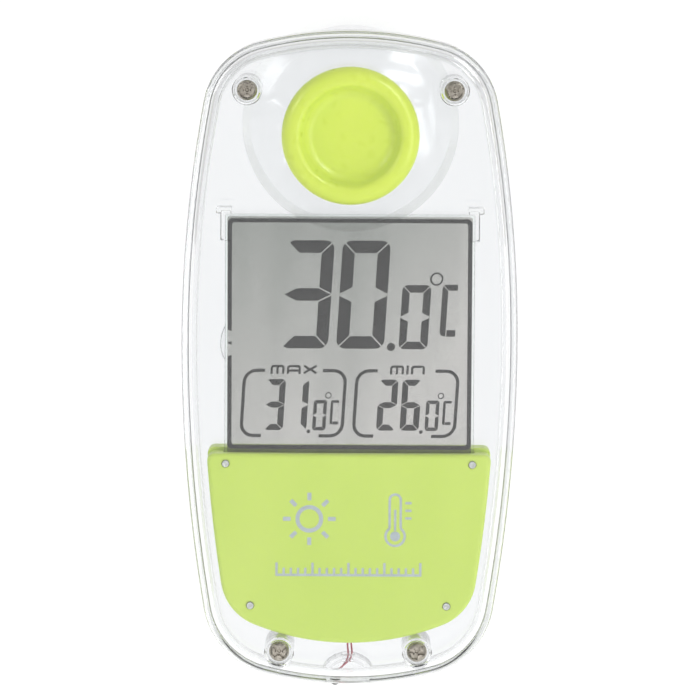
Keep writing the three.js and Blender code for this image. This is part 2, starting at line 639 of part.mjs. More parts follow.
// The button cell lies between two strips; the upper one steps down beside it to the board.
const CELL_PLACE = [11.5, -48];
const CELL_RADIUS = 5.8;
const CELL_THICKNESS = 2.9;
const TAB_THICKNESS = 0.2;
const TAB_HALF_WIDTH = 1.8;

function storageCell() {
  const [x, z] = CELL_PLACE;
  const front = PCB_REAR_Y + TAB_THICKNESS + 2 * CLOSE_GAP;
  const rear = front + CELL_THICKNESS;
  const tabs = [z - TAB_HALF_WIDTH, z + TAB_HALF_WIDTH];
  const negative = block([x - 8, x + 4], [PCB_REAR_Y + CLOSE_GAP, front - CLOSE_GAP], tabs);
  const cell = turned([
    [0, front],
    [CELL_RADIUS - 1, front],
    [CELL_RADIUS - 0.6, front + 0.4],
    [CELL_RADIUS, front + 0.6],
    [CELL_RADIUS, rear],
    [0, rear],
  ], CELL_PLACE, 24);
  const lyingTop = rear + CLOSE_GAP + TAB_THICKNESS;
  const legX = x - CELL_RADIUS - 3.4;
  const positive = join(
    block([legX, x + 2], [rear + CLOSE_GAP, lyingTop], tabs),
    block([legX, legX + TAB_THICKNESS], [PCB_REAR_Y + CLOSE_GAP, lyingTop], tabs),
  );
  addPart(caseGroup, 'storage_cell', 'nickel', cell);
  addPart(caseGroup, 'cell_tab_negative', 'nickel', negative);
  addPart(caseGroup, 'cell_tab_positive', 'nickel', positive);
}
storageCell();

// The solar cell sits in the frame's window, held from inside by a strip of foam tape.
const SOLAR_FRONT_Y = SOLAR_REAR_Y - SOLAR_THICKNESS;
const TAPE_THICKNESS = 1;
const TAPE_FRONT_Y = FRAME_FACE_Y - CLOSE_GAP - TAPE_THICKNESS;
addPart(caseGroup, 'solar_cell', 'solar', block(
  [-SOLAR_HALF_WIDTH, SOLAR_HALF_WIDTH],
  [SOLAR_FRONT_Y, SOLAR_REAR_Y],
  [SOLAR_BOTTOM, SOLAR_TOP],
));
addPart(caseGroup, 'solar_cell_tape', 'rubber', block(
  [-SOLAR_HALF_WIDTH - 2, SOLAR_HALF_WIDTH + 2],
  [TAPE_FRONT_Y, TAPE_FRONT_Y + TAPE_THICKNESS],
  [SOLAR_BOTTOM - 1, SOLAR_TOP + 1],
));

// ---------------------------------------------------------------- rear buttons
const SWITCH_HALF = 3;
const SWITCH_REAR_Y = -17.1;
const PLUNGER_RADIUS = 1.6;
const PLUNGER_REAR_Y = -16.55;

function button(name, x) {
  const place = [x, BUTTON_Z];
  const flangeRear = FRAME_FACE_Y - 0.6;
  const crown = CASE_REAR_Y + 0.8;
  const cap = turned([
    [0, PLUNGER_REAR_Y + CLOSE_GAP],
    [BUTTON_RADIUS + 0.9, PLUNGER_REAR_Y + CLOSE_GAP],
    [BUTTON_RADIUS + 0.9, flangeRear],
    [BUTTON_RADIUS, flangeRear],
    [BUTTON_RADIUS, crown - 0.5],
    [BUTTON_RADIUS - 0.5, crown],
    [0, crown],
  ], place, 24);
  const wellFront = PCB_REAR_Y + 0.6;
  const body = cut(
    block([x - SWITCH_HALF, x + SWITCH_HALF], [PCB_REAR_Y + CLOSE_GAP, SWITCH_REAR_Y],
      [BUTTON_Z - SWITCH_HALF, BUTTON_Z + SWITCH_HALF]),
    rod(PLUNGER_RADIUS + GAP, wellFront, 0, place),
  );
  const plunger = rod(PLUNGER_RADIUS, wellFront + BUTTON_TRAVEL + CLOSE_GAP, PLUNGER_REAR_Y, place);
  addPart(caseGroup, `${name}_button_cap`, 'green', cap);
  addPart(caseGroup, `${name}_switch_body`, 'black', body);
  addPart(caseGroup, `${name}_switch_plunger`, 'rubber', plunger);
}
for (const [name, x] of Object.entries(BUTTONS)) button(name, x);

// ---------------------------------------------------------------- wires and sensor
// Two wires from the solar cell's lower corners, out through the frame's window, to the board.
function solarWire(x) {
  const tapeFront = TAPE_FRONT_Y - CLOSE_GAP - WIRE_RADIUS;
  const boardRear = PCB_REAR_Y + CLOSE_GAP + WIRE_RADIUS;
  return wire([
    [x, tapeFront, SOLAR_BOTTOM + 1],
    [x, tapeFront, SOLAR_BOTTOM - 1],
    [x, (tapeFront + boardRear) / 2, SOLAR_BOTTOM - 2.4],
    [x, boardRear, SOLAR_BOTTOM - 3.8],
    [x, boardRear, SOLAR_BOTTOM - 5],
  ], WIRE_RADIUS, 10);
}
addPart(caseGroup, 'solar_wire_red', 'redWire', solarWire(9));
addPart(caseGroup, 'solar_wire_black', 'black', solarWire(12));

// The sensor wires run side by side from the board, through the frame's notch and the arch's hole, to
// the bead that hangs just below the case.
const BEAD_PLACE = [-2.7, -15.6, -69];

function sensorWire(side) {
  const half = side * (WIRE_RADIUS + 0.1);
  const [beadX, beadY, beadZ] = BEAD_PLACE;
  const boardRear = PCB_REAR_Y + CLOSE_GAP + WIRE_RADIUS;
  return wire([
    [half, boardRear, -52.5],
    [half, boardRear, -54.5],
    [half, WIRE_Y, -58],
    [half, WIRE_Y, -61],
    [half / 2, WIRE_Y + half, -64.5],
    [beadX + 1.2, beadY + half * 1.2, beadZ + BEAD_RADIUS + 1.4],
    [beadX, beadY + half * 1.2, beadZ + BEAD_RADIUS + 0.1],
  ], WIRE_RADIUS, 20);
}
addPart(caseGroup, 'sensor_wire_left', 'redWire', sensorWire(-1));
addPart(caseGroup, 'sensor_wire_right', 'redWire', sensorWire(1));

function thermistorBead() {
  const [x, y, z] = BEAD_PLACE;
  return solid(new THREE.SphereGeometry(BEAD_RADIUS, 14, 10).rotateX(Math.PI / 2).translate(x, y, z));
}
addPart(caseGroup, 'thermistor_bead', 'black', thermistorBead());

export default thermometer;
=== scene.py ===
"""The looks of a clear window thermometer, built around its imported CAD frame.

Shapes are worked out in millimetres and become metres when a mesh is made. The frame is the row's: the window
pane is the plane y = 0, the display faces -Y and +Z is up.
"""

import math

import bmesh
import bpy
from mathutils import Matrix, Vector


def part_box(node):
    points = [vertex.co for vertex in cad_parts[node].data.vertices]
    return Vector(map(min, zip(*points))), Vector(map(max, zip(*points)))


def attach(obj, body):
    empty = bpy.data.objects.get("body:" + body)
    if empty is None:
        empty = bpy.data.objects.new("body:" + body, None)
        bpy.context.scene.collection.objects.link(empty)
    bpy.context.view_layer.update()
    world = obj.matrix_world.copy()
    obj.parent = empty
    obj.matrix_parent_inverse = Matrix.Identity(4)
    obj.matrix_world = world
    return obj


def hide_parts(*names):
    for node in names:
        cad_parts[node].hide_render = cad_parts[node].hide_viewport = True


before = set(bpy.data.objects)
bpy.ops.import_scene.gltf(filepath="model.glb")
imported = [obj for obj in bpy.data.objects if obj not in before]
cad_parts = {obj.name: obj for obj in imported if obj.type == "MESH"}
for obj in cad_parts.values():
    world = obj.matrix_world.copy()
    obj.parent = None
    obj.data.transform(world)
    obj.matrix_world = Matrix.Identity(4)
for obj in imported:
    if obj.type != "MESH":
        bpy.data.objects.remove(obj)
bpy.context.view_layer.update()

MM = 0.001
CASE_BODY = "case"


def box(node):
    """A CAD node's lowest and highest corner, in millimetres."""
    low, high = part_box(node)
    return low / MM, high / MM


def middle(node):
    """The centre of a CAD node seen from the front, as (x, z)."""
    low, high = box(node)
    return (low.x + high.x) / 2, (low.z + high.z) / 2


# ---------------------------------------------------------------- driving dimensions
FRONT_LOW, FRONT_HIGH = box("front_shell")
REAR_LOW, REAR_HIGH = box("rear_shell")
HALF_WIDTH = FRONT_HIGH.x
HALF_HEIGHT = (FRONT_HIGH.z - FRONT_LOW.z) / 2
CASE_Z = (FRONT_HIGH.z + FRONT_LOW.z) / 2
FRONT_Y = FRONT_LOW.y
REAR_Y = REAR_HIGH.y
FRONT_EDGE_Y = FRONT_HIGH.y  # where the front shell ends, just before the parting line
REAR_EDGE_Y = REAR_LOW.y
WALL = 2.0
FRONT_INSIDE_Y = FRONT_Y + WALL
REAR_INSIDE_Y = REAR_Y - WALL
FRONT_ROUND = 3.3
REAR_ROUND = 2.0
FRONT_INNER_ROUND = 1.7
REAR_INNER_ROUND = 1.0
SOFT_EDGE = 0.2  # the small radius that moulding leaves on an edge

CORNERS = ("top_left", "top_right", "bottom_left", "bottom_right")
CASE_SCREWS = {corner: middle("case_screw_" + corner) for corner in CORNERS}
SCREW_FRONT_Y = box("case_screw_top_left")[0].y
SCREW_HEAD_HEIGHT = 1.7
SCREW_SEAT_Y = SCREW_FRONT_Y + SCREW_HEAD_HEIGHT
BOSS_RADIUS = 3.1
RECESS_RADIUS = 2.5
SHANK_HOLE_RADIUS = 1.4

LCD_LOW, LCD_HIGH = box("lcd_front_glass")
LCD_HALF = LCD_HIGH.x
MODULE_LOW, MODULE_HIGH = box("module_cover")
COVER_LOW, COVER_HIGH = box("mount_cover")
COVER_CENTRE = middle("mount_cover")
BUTTONS = ("reset", "unit")

ROUND = 96  # sides of a turned piece
SMALL_ROUND = 48
CHORD = 1.1  # length of an outline's steps
TINY = 1e-6


# ---------------------------------------------------------------- outlines and paths
class Arc:
    """A circle in the XZ plane that an outline follows for a stretch."""

    def __init__(self, x, z, radius):
        self.centre = Vector((x, z))
        self.radius = radius

    def at(self, angle):
        return self.centre + self.radius * Vector((math.cos(angle), math.sin(angle)))


def corner_arc(a, b, radius, upwards):
    """The upper or lower one of the two arcs of that radius that touch both larger arcs from inside."""
    from_a = a.radius - radius
    from_b = b.radius - radius
    between = b.centre - a.centre
    distance = between.length
    along = (from_a ** 2 - from_b ** 2 + distance ** 2) / (2 * distance)
    across = math.sqrt(from_a ** 2 - along ** 2)
    unit = between / distance
    side = Vector((-unit.y, unit.x)) * across
    ends = [a.centre + unit * along + side * turn for turn in (1, -1)]
    centre = (max if upwards else min)(ends, key=lambda point: point.y)
    return Arc(centre.x, centre.y, radius)


def side_points(arcs):
    """Points down the right-hand side along arcs that touch each other in turn, from x = 0 to x = 0."""
    turns = [math.pi / 2]
    for here, after in zip(arcs, arcs[1:]):
        larger, smaller = sorted((here, after), key=lambda arc: -arc.radius)
        offset = smaller.centre - larger.centre
        turns.append(math.atan2(offset.y, offset.x))
    turns.append(-math.pi / 2)
    points = []
    for arc, start, end in zip(arcs, turns, turns[1:]):
        steps = max(3, math.ceil(arc.radius * (start - end) / CHORD))
        points += [arc.at(start + (end - start) * i / steps) for i in range(steps)]
    return points + [arcs[-1].at(-math.pi / 2)]


def mirrored(side):
    """A closed clockwise outline from the points down its right-hand side."""
    return side + [Vector((-point.x, point.y)) for point in reversed(side[1:-1])]


def inset(outline, distance):
    """A closed clockwise outline, moved inwards."""
    if abs(distance) < TINY:
        return outline
    moved = []
    for i, here in enumerate(outline):
        a = (here - outline[i - 1]).normalized()
        b = (outline[(i + 1) % len(outline)] - here).normalized()
        inwards_a = Vector((a.y, -a.x))
        inwards_b = Vector((b.y, -b.x))
        moved.append(here + (inwards_a + inwards_b) * distance / (1 + inwards_a.dot(inwards_b)))
    return moved


def rounded(corners, steps=6, closed=False):
    """A path through (across, along, radius) corners, with an arc in place of each corner of radius > 0."""
    path = []
    for i, (across, along, radius) in enumerate(corners):
        here = Vector((across, along))
        at_end = not closed and i in (0, len(corners) - 1)
        if radius < TINY or at_end:
            path.append(here)
            continue
        back = (Vector(corners[i - 1][:2]) - here).normalized()
        ahead = (Vector(corners[(i + 1) % len(corners)][:2]) - here).normalized()
        half = back.angle(ahead) / 2
        centre = here + (back + ahead).normalized() * radius / math.sin(half)
        start = here + back * radius / math.tan(half) - centre
        end = here + ahead * radius / math.tan(half) - centre
        sweep = math.atan2(start.x * end.y - start.y * end.x, start.dot(end))
        for k in range(steps + 1):
            turn = Matrix.Rotation(sweep * k / steps, 2)
            path.append(centre + turn @ start)
    return path


def rectangle(half_width, bottom, top, radius=0.0, middle_x=0.0):
    """A clockwise rectangle with round corners."""
    left = middle_x - half_width
    right = middle_x + half_width
    corners = [(left, top, radius), (right, top, radius), (right, bottom, radius), (left, bottom, radius)]
    return rounded(corners, steps=5, closed=True)


# The case: shallow arcs at the top and bottom, long side arcs that are widest just above the middle and
# flatter below it, and round corners between them.
WIDEST_Z = CASE_Z + 3.6
TOP_RADIUS = 77.0
BOTTOM_RADIUS = 70.7
UPPER_SIDE_RADIUS = 280.0
LOWER_SIDE_RADIUS = 334.0
TOP_ARC = Arc(0, CASE_Z + HALF_HEIGHT - TOP_RADIUS, TOP_RADIUS)
UPPER_SIDE = Arc(HALF_WIDTH - UPPER_SIDE_RADIUS, WIDEST_Z, UPPER_SIDE_RADIUS)
LOWER_SIDE = Arc(HALF_WIDTH - LOWER_SIDE_RADIUS, WIDEST_Z, LOWER_SIDE_RADIUS)
BOTTOM_ARC = Arc(0, CASE_Z - HALF_HEIGHT + BOTTOM_RADIUS, BOTTOM_RADIUS)
CASE_ARCS = [
    TOP_ARC,
    corner_arc(TOP_ARC, UPPER_SIDE, 15.4, upwards=True),
    UPPER_SIDE,
    LOWER_SIDE,
    corner_arc(LOWER_SIDE, BOTTOM_ARC, 17.0, upwards=False),
    BOTTOM_ARC,
]
CASE_OUTLINE = mirrored(side_points(CASE_ARCS))

# The module follows the case's sides, inset, down to a corner and a bottom arc of its own.
MODULE_INSET = 4.5
MODULE_CORNER_RADIUS = 11.0
MODULE_BOTTOM_RADIUS = 52.7


def module_outline(top, sag, corner):
    """The module's outline below the given height, its top edge sagging a little between round corners."""
    arcs = [Arc(arc.centre.x, arc.centre.y, arc.radius - MODULE_INSET) for arc in CASE_ARCS[:4]]
    bottom = Arc(0, MODULE_LOW.z + MODULE_BOTTOM_RADIUS, MODULE_BOTTOM_RADIUS)
    arcs += [corner_arc(arcs[3], bottom, MODULE_CORNER_RADIUS, upwards=False), bottom]
    side = [point for point in side_points(arcs) if point.y < top - corner - CHORD]
    lower_side = arcs[3]
    edge_x = lower_side.centre.x + math.sqrt(lower_side.radius ** 2 - (top - lower_side.centre.y) ** 2)
    steps = 12
    right = [(edge_x * i / steps, top - sag * (1 - (i / steps) ** 2), 0) for i in range(steps)]
    right += [(edge_x, top, corner)] + [(point.x, point.y, 0) for point in side]
    left = [(-x, z, radius) for x, z, radius in reversed(right[1:-1])]
    return rounded(right + left, steps=5, closed=True)


# ---------------------------------------------------------------- mesh building
def make_object(name, vertices, faces):
    """An object whose mesh has these vertices, given in millimetres, with its faces turned outwards."""
    mesh = bpy.data.meshes.new(name)
    mesh.from_pydata([Vector(vertex) * MM for vertex in vertices], [], faces)
    shaped = bmesh.new()
    shaped.from_mesh(mesh)
    bmesh.ops.recalc_face_normals(shaped, faces=shaped.faces)
    shaped.to_mesh(mesh)
    shaped.free()
    made = bpy.data.objects.new(name, mesh)
    bpy.context.scene.collection.objects.link(made)
    return made


def bridge(rings, closed):
    """Faces between each ring of vertex numbers and the next. A ring of one vertex is a pole."""
    faces = []
    pairs = list(zip(rings, rings[1:]))
    if closed:
        pairs.append((rings[-1], rings[0]))
    for a, b in pairs:
        sides = max(len(a), len(b))
        for i in range(sides):
            j = (i + 1) % sides
            corners = [a[i % len(a)], a[j % len(a)], b[j % len(b)], b[i % len(b)]]
            faces.append(list(dict.fromkeys(corners)))
    return faces


def skin(name, sections, closed=False):
    """A solid through sections of 3-D points. It is capped at both ends, or closed on itself."""
    vertices = []
    rings = []
    for section in sections:
        rings.append(list(range(len(vertices), len(vertices) + len(section))))
        vertices += section
    faces = bridge(rings, closed)
    if not closed:
        faces += [ring for ring in (rings[0], rings[-1]) if len(ring) > 2]
    return make_object(name, vertices, faces)


def loft(name, outline, profile, closed=False):
    """A solid whose sections are the outline moved in by each profile point's inset, at that point's y."""
    sections = [[(p.x, y, p.y) for p in inset(outline, distance)] for distance, y in profile]
    return skin(name, sections, closed)


def slab(name, outline, front_y, rear_y, edge=SOFT_EDGE):
    """A plate with a small radius along its front and rear edges."""
    profile = rounded([(edge, front_y, 0), (0, front_y, edge), (0, rear_y, edge), (edge, rear_y, 0)], steps=3)
    return loft(name, outline, profile)


def lathe(name, centre, profile, sides=ROUND, closed=False):
    """A solid turned about the line along Y through the centre, from (radius, y) profile points."""
    sections = []
    for radius, y in profile:
        count = 1 if radius < TINY else sides
        angles = [2 * math.pi * i / sides for i in range(count)]
        sections.append([
            (centre[0] + radius * math.cos(a), y, centre[1] + radius * math.sin(a)) for a in angles
        ])
    return skin(name, sections, closed)


def rod(centre, radius, front_y, rear_y, edge=0.0, sides=SMALL_ROUND):
    """A round post or hole along Y."""
    corners = [(0, front_y, 0), (radius, front_y, edge), (radius, rear_y, edge), (0, rear_y, 0)]
    profile = rounded(corners, steps=3)
    return lathe("rod", centre, profile, sides)


def block(x_range, y_range, z_range, edge=0.0):
    """A block between two corners, with its upright edges and its rims rounded if an edge radius is given."""
    half = (x_range[1] - x_range[0]) / 2
    outline = rectangle(half, z_range[0], z_range[1], 1.5 * edge, x_range[0] + half)
    if edge < TINY:
        return loft("block", outline, [(0, y_range[0]), (0, y_range[1])])
    return slab("block", outline, y_range[0], y_range[1], edge)


def settle(shape):
    """Puts the result of the modifiers into the mesh."""
    graph = bpy.context.evaluated_depsgraph_get()
    mesh = bpy.data.meshes.new_from_object(shape.evaluated_get(graph))
    shape.modifiers.clear()
    shape.data = mesh


def combine(shape, tools, operation):
    """Joins tools to the shape (UNION), or cuts them from it (DIFFERENCE), and removes them."""
    for tool in tools:
        modifier = shape.modifiers.new("boolean", "BOOLEAN")
        modifier.operation = operation
        modifier.solver = "MANIFOLD"
        modifier.object = tool
    settle(shape)
    for tool in tools:
        bpy.data.objects.remove(tool)
    return shape


def joined(name, shapes):
    """One object with the meshes of several."""
    whole = bmesh.new()
    for shape in shapes:
        whole.from_mesh(shape.data)
        bpy.data.objects.remove(shape)
    mesh = bpy.data.meshes.new(name)
    whole.to_mesh(mesh)
    whole.free()
    made = bpy.data.objects.new(name, mesh)
    bpy.context.scene.collection.objects.link(made)
    return made


def tube(name, points, radius):
    """A wire along a smooth curve through the points, as a mesh."""
    curve = bpy.data.curves.new(name, "CURVE")
    curve.dimensions = "3D"
    curve.bevel_depth = radius * MM
    curve.bevel_resolution = 4
    curve.resolution_u = 10
    curve.use_fill_caps = True
    spline = curve.splines.new("BEZIER")
    spline.bezier_points.add(len(points) - 1)
    for knot, point in zip(spline.bezier_points, points):
        knot.co = Vector(point) * MM
        knot.handle_left_type = "AUTO"
        knot.handle_right_type = "AUTO"
    path = bpy.data.objects.new(name + "_path", curve)
    bpy.context.scene.collection.objects.link(path)
    graph = bpy.context.evaluated_depsgraph_get()
    mesh = bpy.data.meshes.new_from_object(path.evaluated_get(graph))
    bpy.data.objects.remove(path)
    made = bpy.data.objects.new(name, mesh)
    bpy.context.scene.collection.objects.link(made)
    return made


SHARP_ANGLE = math.radians(35)


def add_piece(shape, name, material, body=CASE_BODY, stands_for=(), sharp=SHARP_ANGLE):
    """Finishes a piece: its name, shading, material, the body it rides on and the nodes it stands for."""
    shape.name = name
    shape.data.name = name
    shape.data.materials.clear()
    shape.data.materials.append(material)
    shape.data.shade_smooth()
    shape.data.set_sharp_from_angle(angle=sharp)
    smoother = shape.modifiers.new("weighted_normals", "WEIGHTED_NORMAL")
    smoother.keep_sharp = True
    smoother.weight = 60
    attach(shape, body)
    if stands_for:
        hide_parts(*stands_for)
    return shape


# ---------------------------------------------------------------- materials
class Surface:
    """A procedural material being put together: a Principled shader and the nodes that feed it."""

    def __init__(self, name, **values):
        self.material = bpy.data.materials.new(name)
        self.material.use_nodes = True
        self.tree = self.material.node_tree
        self.shader = self.tree.nodes["Principled BSDF"]
        self.output = self.tree.nodes["Material Output"]
        self.place = self.add("ShaderNodeTexCoord").outputs["Object"]
        for socket, value in values.items():
            self.shader.inputs[socket.replace("_", " ").title().replace("Ior", "IOR")].default_value = value

    def add(self, kind, links=(), **settings):
        """A node. Settings are its own properties, or the values of its inputs; links feed its inputs."""
        node = self.tree.nodes.new(kind)
        for key, value in settings.items():
            if hasattr(node, key):
                setattr(node, key, value)
            else:
                node.inputs[key.replace("_", " ").title()].default_value = value
        for socket, source in dict(links).items():
            self.tree.links.new(source, node.inputs[socket])
        return node

    def link(self, source, socket):
        self.tree.links.new(source, self.shader.inputs[socket])

    def noise(self, grain, detail=3.0, stretch=None):
        """Noise whose lumps are about grain millimetres across, 0 to 1."""
        place = self.place
        if stretch:
            mapping = self.add("ShaderNodeMapping", {"Vector": place})
            mapping.inputs["Scale"].default_value = stretch
            place = mapping.outputs["Vector"]
        node = self.add("ShaderNodeTexNoise", {"Vector": place}, detail=detail, scale=1 / (grain * MM))
        return node.outputs["Fac"]

    def between(self, factor, low, high):
        """The factor's 0.3 to 0.7, where noise mostly lies, spread over low to high."""
        node = self.add("ShaderNodeMapRange", {"Value": factor})
        for socket, value in zip(("From Min", "From Max", "To Min", "To Max"), (0.3, 0.7, low, high)):
            node.inputs[socket].default_value = value
        return node.outputs["Result"]

    def blend(self, factor, low, high):
        """A colour between two, by the factor."""
        node = self.add("ShaderNodeMix", data_type="RGBA")
        self.tree.links.new(factor, node.inputs["Factor"])
        for socket in (one for one in node.inputs if one.type == "RGBA"):
            socket.default_value = (*(low if socket.name == "A" else high), 1)
        return next(one for one in node.outputs if one.type == "RGBA")

    def bump(self, height, depth, strength=1.0):
        """Relief of the given depth in millimetres."""
        node = self.add("ShaderNodeBump", {"Height": height})
        node.inputs["Distance"].default_value = depth * MM
        node.inputs["Strength"].default_value = strength
        self.link(node.outputs["Normal"], "Normal")

    def let_light_in(self, tint):
        """Lamps and diffuse light pass straight through, as they would be too noisy to trace."""
        rays = self.add("ShaderNodeLightPath")
        either = self.add("ShaderNodeMath", operation="MAXIMUM")
        self.tree.links.new(rays.outputs["Is Shadow Ray"], either.inputs[0])
        self.tree.links.new(rays.outputs["Is Diffuse Ray"], either.inputs[1])
        clear = self.add("ShaderNodeBsdfTransparent")
        clear.inputs["Color"].default_value = (*tint, 1)
        mix = self.add("ShaderNodeMixShader")
        self.tree.links.new(either.outputs[0], mix.inputs["Fac"])
        self.tree.links.new(self.shader.outputs[0], mix.inputs[1])
        self.tree.links.new(clear.outputs[0], mix.inputs[2])
        self.tree.links.new(mix.outputs[0], self.output.inputs["Surface"])


def clear_plastic():
    """Polished clear styrene: faint moulding waves and hairline scratches."""
    surface = Surface("clear_plastic", base_color=(0.905, 0.912, 0.918, 1), ior=1.55, transmission_weight=1.0)
    surface.link(surface.between(surface.noise(9.0), 0.015, 0.05), "Roughness")
    waves = surface.noise(24.0, detail=1.0)
    surface.bump(waves, 0.05, strength=0.35)
    surface.let_light_in((0.95, 0.955, 0.958))
    return surface.material


def soft_clear():
    """Soft PVC of the cup and seal: a little milky, with a slight orange peel."""
    surface = Surface("soft_clear", base_color=(0.925, 0.932, 0.934, 1), ior=1.5, transmission_weight=1.0)
    surface.link(surface.between(surface.noise(4.0), 0.05, 0.16), "Roughness")
    surface.bump(surface.noise(3.0), 0.02, strength=0.3)
    surface.let_light_in((0.95, 0.955, 0.955))
    return surface.material


def lime_plastic(name, low, high, roughness):
    """Moulded lime green plastic: a fine satin grain, faint flow marks and a soft glow below the skin."""
    surface = Surface(name, subsurface_weight=0.12, subsurface_scale=1.2 * MM, ior=1.49)
    surface.shader.inputs["Subsurface Radius"].default_value = (1.0, 1.0, 0.3)
    flow = surface.noise(14.0, detail=2.0, stretch=(1, 1, 0.35))
    surface.link(surface.blend(surface.between(flow, 0, 1), low, high), "Base Color")
    surface.link(surface.between(surface.noise(2.5), roughness - 0.05, roughness + 0.07), "Roughness")
    surface.bump(surface.noise(0.25, detail=4.0), 0.006, strength=0.5)
    return surface.material


def metal(name, low, high, roughness, grain=0.4):
    """Plated metal: uneven plating and fine directionless scratches."""
    surface = Surface(name, metallic=1.0)
    surface.link(surface.blend(surface.between(surface.noise(1.2), 0, 1), low, high), "Base Color")
    scratches = surface.noise(grain, detail=5.0)
    surface.link(surface.between(scratches, roughness - 0.08, roughness + 0.12), "Roughness")
    surface.bump(surface.noise(grain / 3, detail=5.0), 0.004, strength=0.5)
    return surface.material


def opaque(name, low, high, roughness, grain=1.0, depth=0.01):
    """A plain non-metal surface with mottled colour, uneven gloss and a fine relief."""
    surface = Surface(name)
    surface.link(surface.blend(surface.between(surface.noise(grain * 2), 0, 1), low, high), "Base Color")
    surface.link(surface.between(surface.noise(grain), roughness - 0.07, roughness + 0.1), "Roughness")
    surface.bump(surface.noise(grain / 3, detail=4.0), depth, strength=0.5)
    return surface.material


def see_through(name, upper, lower, gloss, roughness):
    """A flat see-through layer of the display, darker towards its top left, with a faint reflection."""
    surface = Surface(name)
    surface.tree.nodes.remove(surface.shader)
    split = surface.add("ShaderNodeSeparateXYZ", {"Vector": surface.place})
    fall = surface.add("ShaderNodeMapRange", {"Value": split.outputs["Z"]})
    fall.inputs["From Min"].default_value = LCD_HIGH.z * MM
    fall.inputs["From Max"].default_value = LCD_LOW.z * MM
    across = surface.add("ShaderNodeMapRange", {"Value": split.outputs["X"]})
    across.inputs["From Min"].default_value = 0
    across.inputs["From Max"].default_value = LCD_HALF * MM
    across.inputs["To Max"].default_value = 0.55
    bands = surface.between(surface.noise(7.0, detail=1.0, stretch=(1, 1, 0.12)), -0.12, 0.12)
    slopes = {0: fall.outputs["Result"], 1: across.outputs["Result"]}
    both = surface.add("ShaderNodeMath", slopes, operation="ADD")
    total = surface.add("ShaderNodeMath", {0: both.outputs[0], 1: bands}, operation="ADD")
    tint = surface.blend(total.outputs[0], upper, lower)
    clear = surface.add("ShaderNodeBsdfTransparent", {"Color": tint})
    shine = surface.add("ShaderNodeBsdfGlossy")
    shine.inputs["Roughness"].default_value = roughness
    fresnel = surface.add("ShaderNodeFresnel")
    fresnel.inputs["IOR"].default_value = gloss
    mix = surface.add("ShaderNodeMixShader")
    surface.tree.links.new(fresnel.outputs[0], mix.inputs["Fac"])
    surface.tree.links.new(clear.outputs[0], mix.inputs[1])
    surface.tree.links.new(shine.outputs[0], mix.inputs[2])
    surface.tree.links.new(mix.outputs[0], surface.output.inputs["Surface"])
    return surface.material


def frosted_plastic_painted_highlight():
    """The clear shell's plastic left rough, in a whitish colour: the rough grain is real, the whiteness is a
    painted highlight standing in for the bright refraction ring round each pin's root.
    """
    surface = Surface("frosted_plastic_painted_highlight", transmission_weight=0.35, ior=1.55)
    mottle = surface.between(surface.noise(0.6), 0, 1)
    # Painted highlight: the near-white base colour stands in for the bright ring of refracted light at the
    # pin roots.
    surface.link(surface.blend(mottle, (0.82, 0.84, 0.80), (0.92, 0.93, 0.90)), "Base Color")
    surface.link(surface.between(surface.noise(0.4), 0.4, 0.6), "Roughness")
    surface.bump(surface.noise(0.15), 0.01)
    return surface.material


CLEAR = clear_plastic()
SOFT_CLEAR = soft_clear()
FROSTED_PAINTED_HIGHLIGHT = frosted_plastic_painted_highlight()
GREEN_CAP = lime_plastic("green_cap", (0.62, 0.76, 0.035), (0.66, 0.79, 0.045), 0.30)
GREEN_MODULE = lime_plastic("green_module", (0.53, 0.70, 0.085), (0.57, 0.73, 0.105), 0.36)
NICKEL = metal("dark_nickel", (0.36, 0.33, 0.28), (0.54, 0.50, 0.44), 0.30)
STEEL = metal("cell_steel", (0.55, 0.55, 0.54), (0.72, 0.72, 0.70), 0.28)
FILM = see_through("polariser_film", (0.79, 0.79, 0.78), (0.90, 0.89, 0.885), 1.2, 0.1)
GLASS = see_through("display_glass", (0.965, 0.975, 0.970), (0.985, 0.990, 0.985), 1.2, 0.02)
BORDER = opaque("border_seal", (0.010, 0.010, 0.012), (0.022, 0.022, 0.026), 0.45, grain=1.5)
SEGMENT = opaque("segment_ink", (0.010, 0.010, 0.012), (0.018, 0.018, 0.020), 0.5, grain=2.0)
PRINT = opaque("grey_print", (0.36, 0.42, 0.45), (0.44, 0.50, 0.53), 0.5, grain=0.6)
RUBBER = opaque("dark_rubber", (0.02, 0.02, 0.022), (0.035, 0.035, 0.037), 0.75, grain=0.8)
EPOXY = opaque("black_epoxy", (0.008, 0.008, 0.009), (0.016, 0.016, 0.017), 0.3, grain=1.2)
CERAMIC = opaque("ceramic_chip", (0.42, 0.30, 0.18), (0.52, 0.38, 0.24), 0.6, grain=0.4)
BOARD = opaque("circuit_board", (0.02, 0.13, 0.05), (0.03, 0.19, 0.08), 0.4, grain=1.6)
SOLAR = opaque("solar_face", (0.008, 0.012, 0.035), (0.016, 0.022, 0.060), 0.16, grain=3.0, depth=0.004)
RED_WIRE = opaque("red_wire", (0.34, 0.02, 0.05), (0.44, 0.03, 0.07), 0.4, grain=0.5)
BLACK_WIRE = opaque("black_wire", (0.015, 0.015, 0.016), (0.03, 0.03, 0.032), 0.4, grain=0.5)


# ---------------------------------------------------------------- clear case
PAST = 1.0  # how far a cutting shape reaches past the face that it cuts
SUNK = 0.5  # how far a post is sunk into its wall
MOUTH = 0.35  # chamfer round the mouth of a hole


def recess(place):
    """The cutting shape of a screw's recess and its shank hole, through the front shell."""
    mouth = RECESS_RADIUS + MOUTH
    return lathe("recess", place, [
        (0, FRONT_Y - PAST),
        (mouth, FRONT_Y - PAST),
        (mouth, FRONT_Y),
        (RECESS_RADIUS, FRONT_Y + MOUTH),
        (RECESS_RADIUS, SCREW_SEAT_Y),
        (SHANK_HOLE_RADIUS, SCREW_SEAT_Y),
        (SHANK_HOLE_RADIUS, REAR_INSIDE_Y),
        (0, REAR_INSIDE_Y),
    ], SMALL_ROUND)


